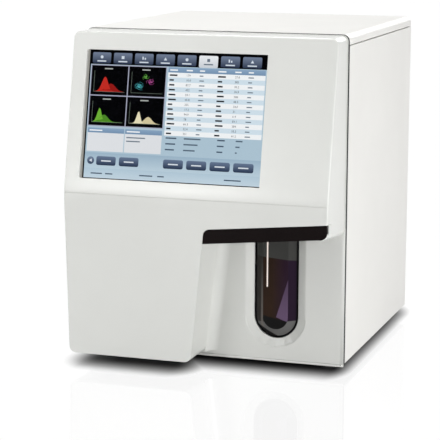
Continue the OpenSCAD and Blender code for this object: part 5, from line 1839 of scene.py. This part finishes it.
@dataclass
class RearFittings:
    """Fan guard, mains inlet, rocker, jacks and fluid ports on the rear panel.

    Attributes:
        case: Planes of the case.
        wire: Radius of the guard's wires.
        wire_sides: Faces round a wire.
        rings: Rings of the guard.
        ring_steps: Chords of a ring.
        spoke_r: Rounding of the spokes.
        spoke_end: Gap of the spokes to the corners.
        ports_count: Fluid ports.
        nut: Radius of a port's nut.
        bore: Radius of a port's bore.
    """

    case: CaseSizes
    wire: float = 0.9
    wire_sides: int = 8
    rings: int = 5
    ring_steps: int = 64
    spoke_r: float = 0.3
    spoke_end: float = 4.0
    ports_count: int = 4
    nut: float = 7.0
    bore: float = 1.5

    def build(self) -> None:
        """Makes the fittings."""
        self.guard()
        for node, name, slot, body, width in (
                ("power_inlet", "mains_inlet_housing", Slot.dark_plastic, Body.CHASSIS, 0.5),
                ("power_rocker", "mains_rocker_cap", Slot.dark_plastic, Body.ROCKER, 0.6),
                ("data_ports", "data_port_shells", Slot.steel, Body.CHASSIS, 0.25)):
            Solid.of_node(node).rounded(width, 2, 40.0).piece(name, slot, body, node)
        self.ports()

    def guard(self) -> None:
        """Wire guard of the fan: rings set out by Geometry Nodes, and spokes."""
        low, high = (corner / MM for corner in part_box("fan_guard"))
        centre = Vector(((low.x + high.x) / 2, high.y - self.wire, (low.z + high.z) / 2))
        outer = (high.x - low.x) / 2 - self.wire
        repeat = Repeat("fan_wire_guard")
        count = repeat.given("Rings", "Int", self.rings)
        step = repeat.given("Ring step", "Float", outer / self.rings * MM)
        wire = repeat.given("Wire radius", "Float", self.wire * MM)
        place = repeat.given("Centre", "Vector", centre * MM)
        line = repeat.node("GeometryNodeMeshLine", {"Count": count, "Offset": (0.0, 0.0, 0.0)})
        index = repeat.node("GeometryNodeInputIndex")
        number = repeat.node("ShaderNodeMath", {0: index.outputs[0], 1: 1.0}, operation="ADD")
        radius = repeat.node("ShaderNodeMath", {0: number.outputs[0], 1: step}, operation="MULTIPLY")
        circle = repeat.node("GeometryNodeCurvePrimitiveCircle", {"Resolution": self.ring_steps, "Radius": 1.0})
        rings = repeat.node("GeometryNodeInstanceOnPoints", {
            "Points": line.outputs[0], "Instance": circle.outputs[0], "Scale": radius.outputs[0],
            "Rotation": (math.radians(90), 0.0, 0.0)})
        loose = repeat.node("GeometryNodeRealizeInstances", {"Geometry": rings.outputs[0]})
        tube = repeat.tube(loose.outputs[0], wire, self.wire_sides, place)
        repeat.piece(tube, [(0, 0, 0)], Slot.steel, Body.CHASSIS, smooth=60.0)
        reach = outer / math.sqrt(0.5) - self.spoke_end
        spokes = Solid()
        for turn in range(4):
            bar = Solid.box((outer / self.rings, -self.wire, -self.wire), (reach, self.wire, self.wire))
            bar.rounded(self.spoke_r, 2, 40.0)
            turned = Matrix.Translation(centre) @ Matrix.Rotation(math.radians(45 + 90 * turn), 4, "Y")
            spokes.join(bar.moved(lambda p: turned @ p))
        spokes.piece("fan_guard_spokes", Slot.steel, Body.CHASSIS, "fan_guard")

    def ports(self) -> None:
        """Barbed fluid ports with their nuts, set out by Geometry Nodes."""
        low, high = (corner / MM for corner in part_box("fluid_ports"))
        nut, bore = self.nut, self.bore
        pitch = (high.x - low.x - 2 * nut) / (self.ports_count - 1)
        middle = (low.z + high.z) / 2
        spots = [(low.x + nut + i * pitch, self.case.y_rear, middle) for i in range(self.ports_count)]
        out, back = high.y - self.case.y_rear, low.y - self.case.y_rear
        profile = [(bore, out), (2.2, out), (3.0, out - 2.6), (2.5, out - 2.7), (3.0, out - 5.4), (2.5, out - 5.5),
                   (3.0, out - 8.2), (2.6, out - 8.4), (2.6, 3.0), (6.4, 3.0), (nut, 2.4), (nut, 0.0), (4.8, 0.0),
                   (4.8, -2.0), (nut, -2.0), (nut, -6.0), (3.0, -6.0), (3.0, back), (bore, back)]
        port = Solid.lathe(profile, (0, 0, 0), 32, backwards=True)
        scattered("barbed_fluid_ports", port, spots, Slot.white_resin, Body.CHASSIS, "fluid_ports")


@dataclass
class Drives:
    """Threaded lead screws of the probe and the syringes.

    Attributes:
        pitch: Pitch of the drawn thread.
        depth: Depth of the thread.
        turn_steps: Chords of a turn.
        thread_sides: Faces round the thread.
        core_steps: Faces round the core.
        bevel: Bevel of the core's ends.
    """

    pitch: float = 4.0
    depth: float = 0.5
    turn_steps: int = 24
    thread_sides: int = 6
    core_steps: int = 32
    bevel: float = 0.6

    def build(self) -> None:
        """Makes both screws."""
        self.screw("probe_thread", "probe_lead_screw", Body.PROBE_SCREW)
        self.screw("syringe_thread", "syringe_lead_screw", Body.PLUNGER_SCREW)

    def screw(self, name: str, node: str, body: Body) -> None:
        """One screw: a turned core with a thread wound round it by Geometry Nodes."""
        low, high = (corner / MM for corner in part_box(node))
        middle, length = (low + high) / 2, high.z - low.z
        core, wound = (high.x - low.x) / 2 - self.depth, length - 2 * self.depth
        repeat = Repeat(name)
        turns = repeat.given("Turns", "Float", wound / self.pitch)
        reach = repeat.given("Thread radius", "Float", core * MM)
        rise = repeat.given("Length", "Float", wound * MM)
        wire = repeat.given("Thread depth", "Float", self.depth * MM)
        place = repeat.given("Foot", "Vector", Vector((middle.x, middle.y, low.z + self.depth)) * MM)
        coil = repeat.node("GeometryNodeCurveSpiral", {
            "Resolution": self.turn_steps, "Rotations": turns, "Start Radius": reach, "End Radius": reach,
            "Height": rise})
        thread = repeat.tube(coil.outputs[0], wire, self.thread_sides, place, capped=True)
        repeat.piece(thread, [(0, 0, 0)], Slot.steel, body, smooth=60.0)
        end = core - self.bevel
        profile = [(0.0, 0.0), (end, 0.0), (core, self.bevel), (core, length - self.bevel), (end, length),
                   (0.0, length)]
        bar = Solid.lathe(profile, (middle.x, middle.y, low.z), self.core_steps)
        bar.piece(name + "_core", Slot.steel, body, node)


@dataclass(frozen=True)
class Softbox:
    """Square soft lamp, in metres and watts.

    Attributes:
        name: Its name.
        place: Where it stands.
        target: Where it faces.
        size: Length of its sides.
        power: Its power.
    """

    name: str
    place: Point
    target: Point
    size: float
    power: float

    def build(self) -> None:
        """Makes the lamp."""
        data = bpy.data.lights.new(self.name, "AREA")
        data.size = self.size
        data.energy = self.power
        thing = bpy.data.objects.new(self.name, data)
        thing.location = self.place
        thing.rotation_euler = (Vector(self.target) - Vector(self.place)).to_track_quat("-Z", "Y").to_euler()
        bpy.context.scene.collection.objects.link(thing)


@dataclass(frozen=True)
class PaintedShadowBox:
    """Box under the object, round which the floor's colour is painted dark as a shadow that fades out, in metres.

    Attributes:
        middle: Its middle.
        half: Half its sizes.
        reach: Distances over which the painted shadow fades out.
    """

    middle: Point
    half: Point
    reach: Point

    def outside(self, shader: Shader) -> Socket:
        """Distance outside the box, in shares of the reach along each axis."""
        place = shader.vector("ABSOLUTE", shader.vector("SUBTRACT", shader.place, self.middle))
        place = shader.vector("MAXIMUM", shader.vector("SUBTRACT", place, self.half), (0, 0, 0))
        return shader.vector("LENGTH", shader.vector("DIVIDE", place, self.reach))


@dataclass
class Studio:
    """Floor, lamps and camera, in metres, radians and pixels.

    Attributes:
        eye: Place of the camera.
        yaw: Its turn to the left.
        pitch: Its tilt down.
        roll: Its roll.
        focal: Its focal length.
        pixels: Width of the picture.
        sensor: Width of the camera's sensor, in millimetres.
        clip: Nearest and furthest distance that it sees.
        ambient: Strength of the light from all round.
        fade: Power of the floor's fade from its painted shadow to white.
        floor_half: Half the floor's size.
        floor_white: Strength of the floor's white.
        floor_tones: Levels of the floor: its painted shadow near the object, and its level away from it.
        floor_rough: Roughness of the floor.
        floor_specular: Level of its plain reflection.
        gloss: Share of the mirror image on the white floor.
        gloss_rough: Roughness of that image.
    """

    eye: tuple[float, float, float] = (0.65239, -2.07142, 0.55169)
    yaw: float = 0.32073
    pitch: float = 0.18213
    roll: float = 0.00336
    focal: float = 1773.67
    pixels: float = 440.0
    sensor: float = 36.0
    clip: Flat = (0.05, 100.0)
    ambient: float = 0.03
    fade: float = 2.4
    floor_half: float = 30.0
    floor_white: float = 1.035
    floor_tones: Flat = (0.02, 0.85)
    floor_rough: float = 0.6
    floor_specular: float = 0.2
    gloss: float = 0.12
    gloss_rough: float = 0.06

    # Painted shadow: boxes round which the floor's dark colour fades out.
    SHADES: ClassVar[tuple[PaintedShadowBox, PaintedShadowBox]] = (
        PaintedShadowBox((-0.0905, 0.0025, 0.0), (0.0475, 0.1475, 1.0), (0.043, 0.062, 1.0)),
        PaintedShadowBox((0.0095, 0.0425, 0.0), (0.1295, 0.1425, 1.0), (0.027, 0.062, 1.0)))
    LAMPS: ClassVar[tuple[Softbox, ...]] = (
        Softbox("top_softbox", (-0.45, 0.1, 2.0), (0.0, 0.0, 0.3), 0.5, 14.0),
        Softbox("top_front_softbox", (0.0, -0.9, 1.9), (0.0, -0.1, 0.2), 1.0, 12.6),
        Softbox("low_right_softbox", (1.95, -0.86, 0.28), (0.1, -0.1, 0.2), 0.5, 24.0),
        Softbox("left_softbox", (-1.7, -0.5, 0.6), (0.0, 0.0, 0.2), 0.8, 7.0),
        Softbox("high_left_softbox", (-0.9, -1.5, 1.2), (0.0, -0.2, 0.25), 0.7, 3.8),
        Softbox("front_softbox", (-0.6, -1.74, 0.45), (-0.03, -0.2, 0.22), 0.4, 3.7),
        Softbox("rear_softbox", (0.5, 2.0, 1.2), (0.0, 0.2, 0.2), 0.9, 12.0))

    def build(self) -> None:
        """Sets the stage."""
        self.camera()
        self.world()
        self.floor()
        for lamp in self.LAMPS:
            lamp.build()
        bpy.context.scene.view_settings.view_transform = "Standard"

    def camera(self) -> None:
        """Makes the camera at the photograph's viewing angle."""
        forward = Vector((-math.sin(self.yaw) * math.cos(self.pitch), math.cos(self.yaw) * math.cos(self.pitch),
                          -math.sin(self.pitch)))
        right = Vector((math.cos(self.yaw), math.sin(self.yaw), 0.0))
        up = right.cross(forward)
        turn = Matrix((right, up, -forward)).transposed() @ Matrix.Rotation(self.roll, 3, "Z")
        data = bpy.data.cameras.new("camera")
        data.sensor_width = self.sensor
        data.lens = self.focal / self.pixels * self.sensor
        data.clip_start, data.clip_end = self.clip
        thing = bpy.data.objects.new("camera", data)
        thing.matrix_world = Matrix.Translation(self.eye) @ turn.to_4x4()
        bpy.context.scene.collection.objects.link(thing)
        bpy.context.scene.camera = thing

    def world(self) -> None:
        """Even light from all round, with a white background for the camera, reflections and glass."""
        world = bpy.data.worlds.new("studio")
        bpy.context.scene.world = world
        world.use_nodes = True
        tree = world.node_tree
        strength = add_node(tree, "ShaderNodeMapRange", {"Value": self.seen(tree), "To Min": self.ambient,
                                                         "To Max": 1.0})
        feed(tree.nodes["Background"], {"Color": WHITE, "Strength": strength.outputs["Result"]})

    @staticmethod
    def seen(tree: bpy.types.NodeTree) -> Socket:
        """1 for a ray that the camera, a reflection or glass sends out, else 0."""
        path = add_node(tree, "ShaderNodeLightPath")
        last = path.outputs["Is Camera Ray"]
        for ray in ("Is Glossy Ray", "Is Transmission Ray"):
            last = add_node(tree, "ShaderNodeMath", {0: last, 1: path.outputs[ray]}, operation="MAXIMUM").outputs[0]
        return last

    def floor(self) -> None:
        """Pale floor whose colour near the object is painted dark, as a shadow over the real one, and which turns white
        further off.
        """
        half = self.floor_half
        mesh = bpy.data.meshes.new("floor")
        mesh.from_pydata([(-half, -half, 0), (half, -half, 0), (half, half, 0), (-half, half, 0)], [], [(0, 1, 2, 3)])
        thing = bpy.data.objects.new("floor", mesh)
        bpy.context.scene.collection.objects.link(thing)
        material = bpy.data.materials.new("pale_floor")
        shader = Shader(material)
        white = shader.add("ShaderNodeEmission", {"Strength": self.floor_white})
        mirror = shader.add("ShaderNodeBsdfGlossy", {"Roughness": self.gloss_rough})
        sheen = shader.add("ShaderNodeMixShader", {0: self.gloss, 1: white.outputs[0], 2: mirror.outputs[0]})
        # Painted shadow: near the object the floor's colour for the camera and for reflections is nearly black, fading
        # to its pale level further off.
        near = shader.number("MINIMUM", *(shade.outside(shader) for shade in self.SHADES))
        far = shader.number("POWER", shader.ranged(near, 0.0, 1.0, 0.0, 1.0), self.fade)
        seen = self.seen(shader.tree)
        pale = shader.number("MAXIMUM", far, shader.ranged(seen, 1.0, 0.0, 0.0, 1.0))
        painted_shadow_grey, light = (grey(level) for level in self.floor_tones)
        feed(shader.surface, {"Roughness": self.floor_rough, "Specular IOR Level": self.floor_specular,
                              "Base Color": shader.mixed(pale, painted_shadow_grey, light)})
        mix = shader.add("ShaderNodeMixShader", {0: shader.number("MULTIPLY", far, seen),
                                                 1: shader.surface.outputs[0], 2: sheen.outputs[0]})
        feed(shader.tree.nodes["Material Output"], {"Surface": mix.outputs[0]})
        mesh.materials.append(material)


def dress_nodes() -> None:
    """Gives every CAD node the finish of its slot in the record."""
    for row in frame["record"]["subparts"]:
        node = frame["nodes"][row["node"]]
        node.data.materials.clear()
        node.data.materials.append(Slot[row["material_slot"]].value.material())
        LOG.info("dressed %s as %s", row["node"], row["material_slot"])


def main() -> None:
    """Builds the analyzer's looks and its stage."""
    logging.basicConfig(level=logging.INFO, format="%(name)s: %(message)s")
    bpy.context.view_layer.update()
    case = CaseSizes()
    dress_nodes()
    for part in (FrontCovers(case), SamplingBay(case), AspirateKey(), Display(case), Housing(case),
                 RearFittings(case), Drives(), Studio()):
        part.build()


if __name__ == "__main__":
    main()
